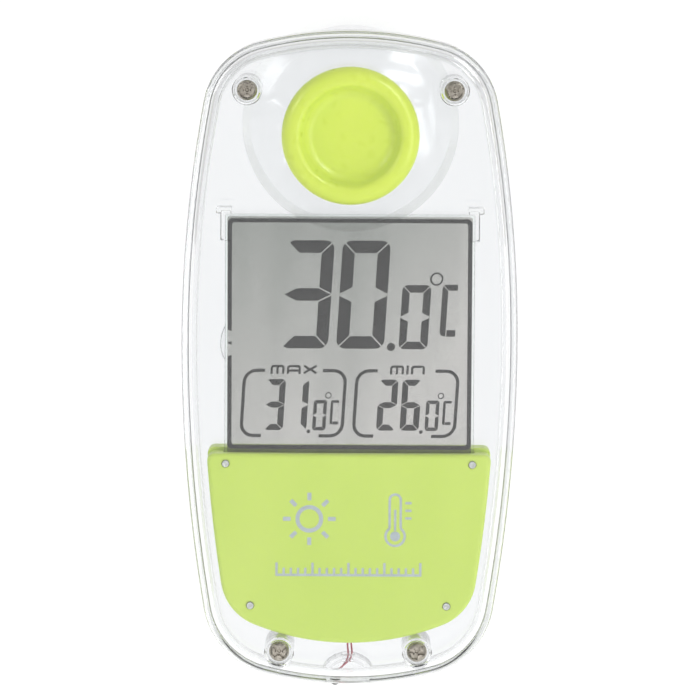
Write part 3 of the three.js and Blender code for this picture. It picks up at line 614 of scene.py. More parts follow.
POCKET_GAP = 0.3
CLAW_WALL = 0.6
CLAW_LAP = 1.2  # how far a claw reaches over the display's face
CLAW_LENGTH = 5.3
CLAW_REAR_Y = FRONT_EDGE_Y - 0.25
STOP_WIDTH = 3.2
STOP_HEIGHT = 1.4


def claw(side):
    """A hook round one upper corner of the display, below a wider stop for the display's upper edge."""
    outside = LCD_HALF + POCKET_GAP
    front = FRONT_INSIDE_Y - SUNK
    top = LCD_HIGH.z + POCKET_GAP
    hook = block(sorted((side * (LCD_HALF - CLAW_LAP), side * (outside + CLAW_WALL))), (front, CLAW_REAR_Y),
                 (LCD_HIGH.z - CLAW_LENGTH, top + SUNK), edge=SOFT_EDGE)
    stop_inside = LCD_HALF - CLAW_LAP - 0.2
    stop = block(sorted((side * stop_inside, side * (stop_inside + STOP_WIDTH))), (front, CLAW_REAR_Y - 1),
                 (top, top + STOP_HEIGHT), edge=SOFT_EDGE)
    return combine(hook, [stop], "UNION")


PIN_RADIUS = 0.55
PIN_LENGTH = 2.2
PINS = [(side * x, CASE_Z + z) for x, z in ((25.7, -21.8), (20.5, -51.6)) for side in (-1, 1)]


def front_shell():
    """The front tray: a rounded face edge, screw bosses with recesses and two display claws."""
    deep = 6.0
    tray = loft("front", CASE_OUTLINE, rounded([
        (deep, FRONT_Y, 0),
        (0, FRONT_Y, FRONT_ROUND),
        (0, FRONT_EDGE_Y, SOFT_EDGE),
        (WALL, FRONT_EDGE_Y, SOFT_EDGE),
        (WALL, FRONT_INSIDE_Y, FRONT_INNER_ROUND),
        (deep, FRONT_INSIDE_Y, 0),
    ], steps=8))
    posts = [rod(place, BOSS_RADIUS, FRONT_INSIDE_Y - SUNK, FRONT_EDGE_Y, SOFT_EDGE)
             for place in CASE_SCREWS.values()]
    combine(tray, posts + [claw(-1), claw(1)], "UNION")
    outside = LCD_HALF + POCKET_GAP
    pocket = block((-outside, outside), (LCD_LOW.y - 2 * POCKET_GAP, CLAW_REAR_Y + PAST),
                   (LCD_LOW.z, LCD_HIGH.z + POCKET_GAP))
    combine(tray, [recess(place) for place in CASE_SCREWS.values()] + [pocket], "DIFFERENCE")
    add_piece(tray, "clear_front_shell", CLEAR, stands_for=["front_shell"])


def locating_pins():
    """The front shell's four pins, each with a flared, dimpled root, in rough plastic whose whitish colour is
    a painted highlight for the bright ring at each root.
    """
    root = FRONT_INSIDE_Y + 0.02
    tip = FRONT_INSIDE_Y + PIN_LENGTH
    pins = []
    for place in PINS:
        pins.append(lathe("pin", place, rounded([
            (0, root + 0.25, 0),
            (0.35, root + 0.25, 0),
            (0.42, root, 0.05),
            (PIN_RADIUS + 0.2, root, 0.05),
            (PIN_RADIUS, root + 0.3, 0.1),
            (PIN_RADIUS, tip, 0.1),
            (0, tip, 0),
        ], steps=3), 32))
    # The pins' whitish material is a painted highlight for the bright rings at their roots.
    add_piece(joined("pins", pins), "locating_pins_painted_highlight", FROSTED_PAINTED_HIGHLIGHT)


SHANK_CLEARANCE = 0.3
SHANK_RADIUS = 2.5
LIFT = 7.0  # from the keyhole's seat down to its entry hole
ENTRY_RADIUS = 5.5


def keyhole():
    """The cutting shape of the keyhole, with a chamfer at the outer face: an entry hole below a slot."""
    slot = SHANK_RADIUS + SHANK_CLEARANCE
    neck_angle = math.acos(slot / ENTRY_RADIUS)
    steps = 36
    seat = [Vector((slot * math.cos(a), slot * math.sin(a)))
            for a in (math.pi * (1 - i / 16) for i in range(17))]
    start = neck_angle
    end = -math.pi - neck_angle
    entry = [Vector((ENTRY_RADIUS * math.cos(a), ENTRY_RADIUS * math.sin(a) - LIFT))
             for a in (start + (end - start) * i / steps for i in range(steps + 1))]
    return loft("keyhole", seat + entry, [
        (0, REAR_INSIDE_Y - PAST), (0, REAR_Y - MOUTH), (-MOUTH, REAR_Y), (-MOUTH, REAR_Y + PAST),
    ])


ARCH_Z = CASE_Z - 69.6
ARCH_RADIUS = 5.0
ARCH_WALL = 1.3
ARCH_FRONT_Y = -18.2
WIRE_Y = -15.4
SEAL_INSET = 0.6
SEAL_WIDTH = 0.8
SEAL_GROOVE_Y = -19.0
BUTTON_HOLE_RADIUS = 3.3


def rear_shell():
    """The rear tray: bosses, the keyhole, the sensor's arch, two button holes and the seal's groove."""
    deep = 6.0
    tray = loft("rear", CASE_OUTLINE, rounded([
        (deep, REAR_Y, 0),
        (0, REAR_Y, REAR_ROUND),
        (0, REAR_EDGE_Y, SOFT_EDGE),
        (WALL, REAR_EDGE_Y, SOFT_EDGE),
        (WALL, REAR_INSIDE_Y, REAR_INNER_ROUND),
        (deep, REAR_INSIDE_Y, 0),
    ], steps=8))
    posts = [rod(place, BOSS_RADIUS, REAR_EDGE_Y, REAR_INSIDE_Y + SUNK, SOFT_EDGE)
             for place in CASE_SCREWS.values()]
    arch = rod((0, ARCH_Z), ARCH_RADIUS + ARCH_WALL, ARCH_FRONT_Y - ARCH_WALL, REAR_INSIDE_Y + SUNK)
    profile = [(REAR_ROUND, REAR_Y), (0.01, REAR_Y - REAR_ROUND), (0.01, REAR_EDGE_Y)]
    body = loft("body", CASE_OUTLINE, profile)
    combine(arch, [body], "INTERSECT")
    combine(tray, posts + [arch], "UNION")
    groove = loft("groove", CASE_OUTLINE, [
        (SEAL_INSET, REAR_EDGE_Y - PAST),
        (SEAL_INSET, SEAL_GROOVE_Y),
        (SEAL_INSET + SEAL_WIDTH, SEAL_GROOVE_Y),
        (SEAL_INSET + SEAL_WIDTH, REAR_EDGE_Y - PAST),
    ], closed=True)
    hollow = rod((0, ARCH_Z), ARCH_RADIUS, ARCH_FRONT_Y, REAR_Y + PAST)
    passage_top = ARCH_Z + ARCH_RADIUS + ARCH_WALL + PAST
    passage = block((-1.2, 1.2), (WIRE_Y - 0.8, WIRE_Y + 0.8), (ARCH_Z, passage_top))
    shanks = [rod(place, SHANK_HOLE_RADIUS, REAR_EDGE_Y - PAST, REAR_INSIDE_Y - PAST)
              for place in CASE_SCREWS.values()]
    holes = []
    for name in BUTTONS:
        mouth = BUTTON_HOLE_RADIUS + MOUTH
        holes.append(lathe("hole", middle(name + "_button_cap"), [
            (0, REAR_INSIDE_Y - PAST),
            (BUTTON_HOLE_RADIUS, REAR_INSIDE_Y - PAST),
            (BUTTON_HOLE_RADIUS, REAR_Y - MOUTH),
            (mouth, REAR_Y),
            (mouth, REAR_Y + PAST),
            (0, REAR_Y + PAST),
        ], SMALL_ROUND))
    combine(tray, [groove, hollow, passage, keyhole()] + shanks + holes, "DIFFERENCE")
    add_piece(tray, "clear_rear_shell", CLEAR, stands_for=["rear_shell"])


def case_seal():
    """The soft cord that fills the groove between the shells."""
    low, high = box("case_seal")
    radius = (SEAL_WIDTH - 0.2) / 2
    centre_inset = SEAL_INSET + SEAL_WIDTH / 2
    profile = rounded([
        (centre_inset - radius, low.y, radius * 0.9),
        (centre_inset + radius, low.y, radius * 0.9),
        (centre_inset + radius, high.y, radius * 0.9),
        (centre_inset - radius, high.y, radius * 0.9),
    ], steps=3, closed=True)
    seal = loft("seal", CASE_OUTLINE, profile, closed=True)
    add_piece(seal, "soft_case_seal", SOFT_CLEAR, stands_for=["case_seal"])


# ---------------------------------------------------------------- suction cup, stud and green cap
def suction_cup():
    """A soft cup: a thin rim, a flaring skirt and a neck with a grip ring and the stud's socket."""
    low, high = box("suction_cup")
    stud_high = box("cup_stud")[1]
    radius = high.x
    land = 2.2
    skirt_y = -6.6
    neck = 6.0
    gap = 0.1
    flange_y = low.y + 2.0
    flange_radius = 4.0
    profile = rounded([
        (0, stud_high.y + gap, 0),
        (flange_radius + gap, stud_high.y + gap, 0),
        (flange_radius + gap, flange_y - gap, 0),
        (SHANK_RADIUS + gap, flange_y - gap, 0),
        (SHANK_RADIUS + gap, low.y, 0.1),
        (neck, low.y, 0.8),
        (neck, skirt_y - 0.6, 1.6),
        (12, -5.6, 5.0),
        (18, -3.3, 6.0),
        (radius, -0.8, 0.25),
        (radius, 0, 0.2),
        (radius - land, 0, 1.2),
        (18, -1.6, 6.0),
        (12, -3.8, 6.0),
        (6, -4.8, 6.0),
        (0, -5.0, 0),
    ], steps=5)
    cup = lathe("cup", (0, 0), profile, 128)
    add_piece(cup, "soft_suction_cup", SOFT_CLEAR, body="suction_cup",
              stands_for=["suction_cup"])


def cup_stud():
    """The hard stud in the cup's socket: a flange, a shank and a round head with a gate mark."""
    low, high = box("cup_stud")
    head_radius = high.x
    head_rear = REAR_INSIDE_Y - 0.3
    flange_y = box("suction_cup")[0].y + 2.0
    profile = rounded([
        (0, low.y, 0),
        (0.9, low.y, 0.1),
        (1.1, low.y + 0.15, 0.1),
        (head_radius, low.y + 0.15, 0.5),
        (head_radius, head_rear, 0.2),
        (SHANK_RADIUS, head_rear, 0.3),
        (SHANK_RADIUS, flange_y, 0.1),
        (4.0, flange_y, 0.2),
        (4.0, high.y, 0.2),
        (0, high.y, 0),
    ], steps=4)
    add_piece(lathe("stud", (0, 0), profile, 64), "clear_cup_stud", CLEAR, body="cup_stud",
              stands_for=["cup_stud"])


COVER_RIM = 4.2
COVER_DISH = 3.4
COVER_WALL = 1.4
COVER_REAR_RADIUS = 13.3


def mount_cover():
    """The green cap over the keyhole: a dished face in a full round rim, on a tapered skirt."""
    radius = COVER_HIGH.x
    dish_y = COVER_LOW.y + COVER_DISH
    profile = rounded([
        (0, dish_y, 0),
        (radius - COVER_RIM - 1.1, dish_y, 2.6),
        (radius - COVER_RIM + 0.5, COVER_LOW.y, 1.3),
        (radius + 0.2, COVER_LOW.y, 2.4),
        (COVER_REAR_RADIUS, COVER_HIGH.y, 0.2),
        (COVER_REAR_RADIUS - COVER_WALL, COVER_HIGH.y, 0.2),
        (radius - 2 * COVER_WALL, dish_y + COVER_WALL, 0.5),
        (0, dish_y + COVER_WALL, 0),
    ], steps=10)
    cap = lathe("cap", COVER_CENTRE, profile, 128)
    add_piece(cap, "green_mount_cover", GREEN_CAP, stands_for=["mount_cover"])


# ---------------------------------------------------------------- screws
SCREW_TURNS = (45, 38, 50, 10)  # how far each screw's cross is turned, in degrees
SCREW_HEAD_RADIUS = 2.1
SCREW_SHANK_RADIUS = 1.1
SCREW_PITCH = 0.8


def screw(name, node, seat_y, direction, head_radius, shank_radius, pitch, turn, material):
    """A pan-head screw with a cross recess and a helical thread, pointing along +Y or -Y from its seat."""
    low, high = box(node)
    place = middle(node)
    ends = (low.y, high.y) if direction > 0 else (high.y, low.y)
    head_y, tip_y = ends
    depth = seat_y - head_y
    head = lathe("head", place, rounded([
        (0, head_y, 0),
        (head_radius * 0.86, head_y + depth * 0.04, head_radius * 0.5),
        (head_radius, head_y + depth * 0.34, head_radius * 0.14),
        (head_radius, seat_y, 0.1),
        (0, seat_y, 0),
    ], steps=6), SMALL_ROUND)
    sides = 20
    per_turn = 10
    length = abs(tip_y - seat_y)
    count = int(length / pitch * per_turn)
    sections = [[(place[0], seat_y - direction * 0.2, place[1])]]
    for k in range(count + 1):
        along = length * k / count
        taper = min(1.0, (length - along) / shank_radius + 0.12)
        section = []
        for i in range(sides):
            angle = 2 * math.pi * i / sides
            ridge = abs(((along / pitch - i / sides) % 1) - 0.5) * 2
            radius = shank_radius * taper * (0.74 + 0.26 * max(0.0, ridge * 2.2 - 1.2))
            section.append((place[0] + radius * math.cos(angle), seat_y - direction * 0.2 + direction * along,
                            place[1] + radius * math.sin(angle)))
        sections.append(section)
    shank = skin("shank", sections)
    combine(head, [shank], "UNION")
    reach = head_radius * 0.74
    half = head_radius * 0.19
    depths = sorted((head_y - direction * PAST, head_y + depth * 0.62))
    cross = [
        block((place[0] - reach, place[0] + reach), depths, (place[1] - half, place[1] + half)),
        block((place[0] - half, place[0] + half), depths, (place[1] - reach, place[1] + reach)),
    ]
    cone_radius = head_radius * 0.42
    cross.append(lathe("cone", place, [
        (0, head_y - direction * PAST),
        (cone_radius, head_y - direction * PAST),
        (cone_radius, head_y + depth * 0.1),
        (cone_radius * 0.3, head_y + depth * 0.78),
        (0, head_y + depth * 0.78),
    ], 8))
    for arm in cross:
        arm.data.transform(Matrix.Translation(Vector((place[0], 0, place[1])) * MM)
                           @ Matrix.Rotation(turn, 4, "Y")
                           @ Matrix.Translation(Vector((-place[0], 0, -place[1])) * MM))
    combine(head, cross, "DIFFERENCE")
    add_piece(head, name, material, stands_for=[node])


# ---------------------------------------------------------------- display
def display_stack():
    """Film, glass, glass and film, each at its CAD node's place, with round corners."""
    layers = (
        ("lcd_front_polariser", "display_front_film", FILM, "lcd_film", 0.3),
        ("lcd_front_glass", "display_front_glass", GLASS, "lcd_glass", 0.15),
        ("lcd_rear_glass", "display_rear_glass", GLASS, "lcd_glass", 0.15),
        ("lcd_rear_polariser", "display_rear_film", FILM, "lcd_film", 0.3),
    )
    for node, name, material, slot, corner in layers:
        low, high = box(node)
        plate = slab(name, rectangle(high.x, low.z, high.z, corner), low.y, high.y, edge=0.06)
        add_piece(plate, name, material, stands_for=[node])


BORDER_OUTER = 25.45
BORDER_WIDTH = 0.85
BORDER_CORNER = 0.9
FILL_PORT_Z = 26.0  # above the display's lower edge
PORT_GAP_RADIUS = 1.3
PORT_GAP_OFFSET = 1.45
RESIN_HALF_LENGTH = 3.3
RESIN_PROUD = 0.8  # how far the resin stands out from the glass's edge


def border_seal():
    """The black glue line round the display, open at its fill port, and the clear resin in the port."""
    low, high = box("lcd_border_seal")
    top = LCD_HIGH.z - BORDER_CORNER
    bottom = low.z + 0.6
    outer = rectangle(BORDER_OUTER, bottom, top, BORDER_CORNER)
    inner = rectangle(BORDER_OUTER - BORDER_WIDTH, bottom + BORDER_WIDTH, top - BORDER_WIDTH,
                      BORDER_CORNER * 0.7)
    rims = ((outer, low.y), (outer, high.y), (inner, high.y), (inner, low.y))
    seal = skin("border", [[(p.x, y, p.y) for p in outline] for outline, y in rims], closed=True)
    port_z = LCD_LOW.z + FILL_PORT_Z
    gaps = [rod((-BORDER_OUTER, port_z + offset), PORT_GAP_RADIUS, low.y - PAST, high.y + PAST)
            for offset in (PORT_GAP_OFFSET, -PORT_GAP_OFFSET)]
    combine(seal, gaps, "DIFFERENCE")
    add_piece(seal, "display_border_seal", BORDER, stands_for=["lcd_border_seal"])
    radius = (RESIN_HALF_LENGTH ** 2 + RESIN_PROUD ** 2) / (2 * RESIN_PROUD)
    swing = math.degrees(math.asin(RESIN_HALF_LENGTH / radius))
    edge = arc_points((RESIN_PROUD - radius, 0), radius, -swing, swing, 10)
    outline = [Vector((-LCD_HALF - 0.02 - p.x, port_z + p.y)) for p in reversed(edge)]
    plug = slab("plug", outline, low.y - 0.8, high.y + 0.8, edge=0.15)
    add_piece(plug, "fill_port_resin", CLEAR)


SLANT = 0.061  # everything shown leans this far to the right for each unit of height
SEGMENT_GAP = 0.1  # between segments, as a part of the stroke


def arc_points(centre, radius, start, end, steps=5):
    """Points along an arc, from one angle to another, in degrees."""
    angles = [math.radians(start + (end - start) * i / steps) for i in range(steps + 1)]
    return [Vector((centre[0] + radius * math.cos(a), centre[1] + radius * math.sin(a))) for a in angles]


def shrunk(polygon, distance):
    """A convex polygon, moved inwards whichever way round it runs."""
    area = sum(a.x * b.y - b.x * a.y for a, b in zip(polygon, polygon[1:] + polygon[:1]))
    clockwise = polygon if area < 0 else polygon[::-1]
    return inset(clockwise, distance)


def segments(shown, width, height, stroke):
    """The shown segments (letters a to g) of a digit standing on z = 0 from x = 0, with round corners."""
    w, h, t = width, height, stroke
    k, m, r = h / 2, t / 2, t * 0.72
    level = (arc_points((r, h - r), r, 135, 90) + arc_points((w - r, h - r), r, 90, 45)
             + [Vector((w - t, h - t)), Vector((t, h - t))])
    upright = (arc_points((w - r, h - r), r, 45, 0)
               + [Vector(p) for p in ((w, k), (w - t, k + m), (w - t, h - t))])
    middle_bar = [Vector(p) for p in ((0, k), (t, k + m), (w - t, k + m), (w, k), (w - t, k - m), (t, k - m))]

    def turned(polygon, across, down):
        return [Vector((w - p.x if across else p.x, h - p.y if down else p.y)) for p in polygon]

    polygons = {
        "a": level,
        "b": upright,
        "c": turned(upright, False, True),
        "d": turned(level, False, True),
        "e": turned(upright, True, True),
        "f": turned(upright, True, False),
        "g": middle_bar,
    }
    return [shrunk(polygons[letter], stroke * SEGMENT_GAP / 2) for letter in shown]


DIGITS = {"0": "abcdef", "1": "bc", "2": "abged", "3": "abgcd", "6": "afgedc"}


def celsius(width, height, stroke):
    """The unit sign: an upright with a mitred top bar and a short separate bar at the foot."""
    w, h, t = width, height, stroke
    r = t * 0.72
    gap = t * SEGMENT_GAP
    upright = (arc_points((r, r), r, 270, 180) + arc_points((r, h - r), r, 180, 135)
               + [Vector((t, h - t)), Vector((t, 0))])
    top = arc_points((r, h - r), r, 135, 90) + [Vector(p) for p in ((w, h), (w, h - t), (t, h - t))]
    foot = [Vector(p) for p in ((t + gap, t), (w, t), (w, 0), (t + gap, 0))]
    return [shrunk(upright, gap / 2), shrunk(top, gap / 2), foot]


def dot(radius, sides=24):
    return [arc_points((0, 0), radius, 0, 360 - 360 / sides, sides - 1)]


def bar(start, end, width):
    """A straight stroke with square ends."""
    return stroke([Vector(start), Vector(end)], width)


def stroke(path, width):
    """A stroke along an open path, as one polygon."""
    left = []
    right = []
    for i, here in enumerate(path):
        along = (path[min(i + 1, len(path) - 1)] - path[max(i - 1, 0)]).normalized()
        side = Vector((-along.y, along.x)) * width / 2
        left.append(here + side)
        right.append(here - side)
    return [left + right[::-1]]


def ring(radius, width, sides=40):
    """A ring as two half-ring strokes that meet."""
    middle_radius = radius - width / 2
    halves = [arc_points((0, 0), middle_radius, start, start + 180, sides // 2) for start in (0, 180)]
    return [polygon for half in halves for polygon in stroke(half, width)]


def moved(polygons, x, z, lean=0.0):
    """Polygons leaned over and then moved."""
    return [[Vector((p.x + lean * p.y + x, p.y + z)) for p in polygon] for polygon in polygons]


def ink(name, polygons, front_y, rear_y, material):
    """Flat printed or driven shapes as one thin piece."""
    vertices = []
    faces = []
    for polygon in polygons:
        start = len(vertices)
        count = len(polygon)
        vertices += [(p.x, y, p.y) for y in (front_y, rear_y) for p in polygon]
        faces.append(list(range(start, start + count)))
        faces.append(list(range(start + count, start + 2 * count)))
        faces += [[start + i, start + (i + 1) % count, start + count + (i + 1) % count, start + count + i]
                  for i in range(count)]
    shape = make_object(name, vertices, faces)
    add_piece(shape, name, material)


def reading(text, sizes, places):
    """A temperature: two whole digits, a point, a tenth, a degree ring and the unit, each leaned over.

    Sizes: the whole digits, the tenth and the unit as (width, height, stroke), the point's radius, and the
    ring's radius and stroke. Places are (x, z), for both whole digits, the tenth, unit, point and ring.
    """
    whole, tenth, unit, point, degree = sizes
    shapes = [segments(DIGITS[text[0]], *whole), segments(DIGITS[text[1]], *whole),
              segments(DIGITS[text[2]], *tenth), celsius(*unit), dot(point), ring(*degree)]
    return [polygon for shape, place in zip(shapes, places) for polygon in moved(shape, *place, SLANT)]


LABEL_HEIGHT = 1.85
LABEL_STROKE = 0.48


def arch_letter(width, bars=()):
    """A letter that is a round-cornered arch with extra bars."""
    half = LABEL_STROKE / 2
    path = rounded([(half, 0, 0), (half, LABEL_HEIGHT - half, 0.4), (width - half, LABEL_HEIGHT - half, 0.4),
                    (width - half, 0, 0)], steps=4)
    extra = [polygon for start, end in bars for polygon in bar(start, end, LABEL_STROKE)]
    return stroke(path, LABEL_STROKE) + extra


def label_letters():
    """The plain letters of the two labels, each with its width."""
    w, h, t = 2.9, LABEL_HEIGHT, LABEL_STROKE
    inner = h - t
    reach = t * 0.3
    return {
        "M": (w, arch_letter(w, [((w / 2, 0), (w / 2, inner))])),
        "A": (w, arch_letter(w, [((t, h * 0.36), (w - t, h * 0.36))])),
        "N": (w, arch_letter(w)),
        "I": (t, bar((t / 2, 0), (t / 2, h), t)),
        "X": (w, bar((reach, reach), (w - reach, h - reach), t)
              + bar((reach, h - reach), (w / 2 - reach, h / 2), t)
              + bar((w / 2 + reach, h / 2), (w - reach, reach), t)),
    }


def label(text, x, z):
    letters = label_letters()
    shapes = []
    for letter in text:
        width, polygons = letters[letter]
        shapes += moved(polygons, x, z, SLANT)
        x += width + 0.5
    return shapes


BRACKET_WIDTH = 21.1
BRACKET_HEIGHT = 13.7
BRACKET_STROKE = 0.68


def brackets():
    """Two round-cornered brackets that face each other, open in the middle."""
    w, h = BRACKET_WIDTH, BRACKET_HEIGHT
    corner = 2.5
    left = rounded([(4.2, h, 0), (0, h, corner), (0, 0, corner), (4.2, 0, 0)], steps=8)
    right = rounded([(w - 4.8, h, 0), (w, h, corner), (w, 0, corner), (w - 4.8, 0, 0)], steps=8)
    return stroke(left, BRACKET_STROKE) + stroke(right, BRACKET_STROKE)


def display_content():
    """What the display shows: a large reading over the highest and lowest readings, each in brackets."""
    floor = LCD_LOW.z
    shapes = moved(reading(
        "300",
        ((10.3, 22.9, 2.9), (6.2, 13.6, 1.75), (3.35, 10.95, 1.37), 0.86, (1.4, 0.37)),
        ((0, 0), (11.7, 0), (24.8, 0), (33.35, 2.75), (23.35, 0.55), (32.8, 14.8)),
    ), -14.7, floor + 24.8)
    for text, name, name_x, left in (("310", "MAX", 6.15, -22.66), ("260", "MIN", 7.6, 0.84)):
        shapes += moved(reading(
            text,
            ((4.15, 10.85, 1.4), (2.85, 6.45, 0.8), (1.8, 5.1, 0.6), 0.38, (0.67, 0.2)),
            ((4.7, 0), (9.6, 0), (14.85, 0), (18.5, 1.3), (14.15, -0.2), (18.3, 7.4)),
        ), left, floor + 7.7)
        shapes += moved(brackets(), left, floor + 6.6, SLANT)
        shapes += label(name, left + name_x, floor + 19.6)
    low, high = box("lcd_border_seal")
    ink("display_segments", shapes, low.y + 0.05, high.y - 0.05, SEGMENT)


# ---------------------------------------------------------------- electronics module
MODULE_WALL = 1.3
MODULE_FACE = 1.5
MODULE_SAG = 0.1
MODULE_CORNER = 1.5  # at the two ends of the top edge; more than the wall, so that the inside stays whole
SOCKET_RADIUS = 1.5
SOCKET_DEPTH = 1.3
LIP_REAR_Y = LCD_LOW.y - 0.55
PIN_HOLE_RADIUS = 0.85


def module_cover():
    """The green front of the module: round edges, a lip in front of the display and four pin holes."""
    outline = module_outline(MODULE_HIGH.z, MODULE_SAG, MODULE_CORNER)
    rear = MODULE_HIGH.y
    face_rear = MODULE_LOW.y + MODULE_FACE
    cover = loft("cover", outline, rounded([
        (MODULE_WALL, MODULE_LOW.y, 0),
        (0, MODULE_LOW.y, 0.9),
        (0, rear, SOFT_EDGE),
        (MODULE_WALL, rear, SOFT_EDGE),
        (MODULE_WALL, face_rear, 0),
    ], steps=6))
    outside = LCD_HALF + POCKET_GAP
    slot = block((-outside, outside), (LIP_REAR_Y, rear + PAST), (LCD_LOW.z - 0.4, MODULE_HIGH.z + PAST))
    socket_rear = face_rear + SOCKET_DEPTH
    sockets = [rod(place, SOCKET_RADIUS, face_rear - SUNK, socket_rear, SOFT_EDGE, 32) for place in PINS]
    combine(cover, sockets, "UNION")
    pin_holes = [rod(place, PIN_HOLE_RADIUS, MODULE_LOW.y - PAST, socket_rear - 0.4, 0, 32) for place in PINS]
    combine(cover, [slot] + pin_holes, "DIFFERENCE")
    add_piece(cover, "green_module_cover", GREEN_MODULE, stands_for=["module_cover"])


def module_frame():
    """The green rear of the module: a tray with a window for the solar cell and two button holes."""
    low, high = box("module_frame")
    face_y = high.y - MODULE_FACE
    tray = loft("tray", module_outline(high.z, 0, MODULE_CORNER), rounded([
        (1.2, high.y, 0),
        (0, high.y, 1.0),
        (0, low.y, SOFT_EDGE),
        (MODULE_WALL, low.y, SOFT_EDGE),
        (MODULE_WALL, face_y, 0),
    ], steps=6))
    cell_low, cell_high = box("solar_cell")
    window = loft("window", rectangle(cell_high.x + 0.3, cell_low.z - 0.3, cell_high.z + 0.3, 0.6), [
        (0, face_y - PAST), (0, high.y - MOUTH), (-MOUTH, high.y), (-MOUTH, high.y + PAST),
    ])
    notch = block((-1.2, 1.2), (WIRE_Y - 0.8, WIRE_Y + 0.8), (low.z - PAST, low.z + MODULE_WALL + PAST))
    holes = [rod(middle(name + "_button_cap"), BUTTON_HOLE_RADIUS, face_y - PAST, high.y + PAST)
             for name in BUTTONS]
    combine(tray, [window, notch] + holes, "DIFFERENCE")
    add_piece(tray, "green_module_frame", GREEN_MODULE, stands_for=["module_frame"])


def printed_marks():
    """Generic grey pictograms on the module: a sun, a bulb thermometer and a row of scale ticks."""
    heavy = 0.85
    fine = 0.5
    sun = ring(2.9, heavy)
    for i in range(8):
        turn = 2 * math.pi * i / 8
        ray = Vector((math.cos(turn), math.sin(turn)))
        sun += bar(ray * 3.9, ray * 5.5, heavy)
    stem = rounded([(-1.15, 1.65, 0), (-1.15, 8.8, 1.14), (1.15, 8.8, 1.14), (1.15, 1.65, 0)], steps=8)
    bulb = stroke(arc_points((0, 0), 2.0, 125, 415, 32), fine) + dot(1.05)
    column = bar((0, 1.2), (0, 5.6), fine)
    marks = [polygon for i in range(3) for polygon in bar((2.1, 3.8 + 1.6 * i), (3.4, 3.8 + 1.6 * i), fine)]
    scale = bar((-15.25, 0), (15.25, 0), fine)
    for i in range(21):
        height = 2.6 if i % 5 == 0 else 1.5
        scale += bar((1.5 * (i - 10), fine / 2), (1.5 * (i - 10), height), fine)
    top = MODULE_HIGH.z
    shapes = moved(sun, -8.2, top - 13.6)
    shapes += moved(stroke(stem, fine) + bulb + column + marks, 9.7, top - 17.2)
    shapes += moved(scale, 0, top - 25.4)
    ink("module_pictograms", shapes, MODULE_LOW.y - 0.03, MODULE_LOW.y + 0.05, PRINT)


def solar_cell():
    """The amorphous cell: a glass slip with dark stripes parted by fine silver lines."""
    low, high = box("solar_cell")
    slip = slab("slip", rectangle(high.x, low.z, high.z, 0.2), low.y, high.y - 0.02, edge=0.1)
    add_piece(slip, "dark_solar_cell", SOLAR, stands_for=["solar_cell"])
    stripes = 6
    step = 2 * high.x / stripes
    lines = []
    margin = 0.7
    width = 0.16
    for i in range(1, stripes):
        x = low.x + step * i
        lines += bar((x, low.z + margin + width), (x, high.z - margin - width), width)
    for z in (low.z + margin, high.z - margin):
        lines += bar((low.x + margin, z), (high.x - margin, z), width)
    ink("solar_cell_lines", lines, high.y - 0.03, high.y, STEEL)


def buttons():
    """Two round green caps with a dished crown and a flange behind the module frame."""
    for name in BUTTONS:
        node = name + "_button_cap"
        low, high = box(node)
        radius = 3.0
        flange = high.x - middle(node)[0]
        flange_rear = box("module_frame")[1].y - MODULE_FACE - 0.6
        cap = lathe("cap", middle(node), rounded([
            (0, low.y, 0),
            (flange, low.y, 0.15),
            (flange, flange_rear, 0.15),
            (radius, flange_rear, 0.1),
            (radius, high.y, 0.55),
            (radius * 0.62, high.y, 0.8),
            (radius * 0.45, high.y - 0.35, 0.8),
            (0, high.y - 0.42, 0),
        ], steps=5), 64)
        add_piece(cap, "green_" + node, GREEN_CAP, body=name + "_button", stands_for=[node])


# ---------------------------------------------------------------- sensor
WIRE_RADIUS = 0.19
BEAD_PLACE = (-2.7, -15.6, CASE_Z - 69.0)


def sensor():
    """Two thin red wires side by side, from the board out through the arch to an epoxy bead."""
    bead_x, bead_y, bead_z = BEAD_PLACE
    board_rear = box("main_pcb")[1].y + 0.4
    bead_low, bead_high = box("thermistor_bead")
    bead_radius = (bead_high.z - bead_low.z) / 2
    for side, name in ((-1, "left"), (1, "right")):
        half = side * (WIRE_RADIUS + 0.06)
        shift = 0.3
        points = [
            (half + shift, board_rear, CASE_Z - 52.5),
            (half + shift, board_rear, CASE_Z - 54.5),
            (half * 0.4 + shift, WIRE_Y + half, CASE_Z - 58),
            (half * 1.6 + shift, WIRE_Y, CASE_Z - 61.4),
            (half * 1.4 + shift, WIRE_Y + half, CASE_Z - 64.0),
            (bead_x + 1.2, bead_y + half * 1.2, bead_z + bead_radius + 1.4),
            (bead_x, bead_y + half * 1.2, bead_z + bead_radius + 0.1),
        ]
        node = "sensor_wire_" + name
        add_piece(tube(node, points, WIRE_RADIUS), "red_" + node, RED_WIRE, stands_for=[node])
    sides, rows = 32, 18
    sections = []
    for k in range(rows + 1):
        polar = math.pi * k / rows
        taper = 1 - 0.22 * max(0.0, math.cos(polar)) ** 2
        radius = bead_radius * math.sin(polar) * taper
        z = bead_z + bead_radius * math.cos(polar)
        if radius < TINY:
            sections.append([(bead_x, bead_y, z)])
            continue
        sections.append([(bead_x + radius * math.cos(a), bead_y + radius * math.sin(a), z)
                         for a in (2 * math.pi * i / sides for i in range(sides))])
    add_piece(skin("bead", sections), "black_thermistor_bead", EPOXY,
              stands_for=["thermistor_bead"])


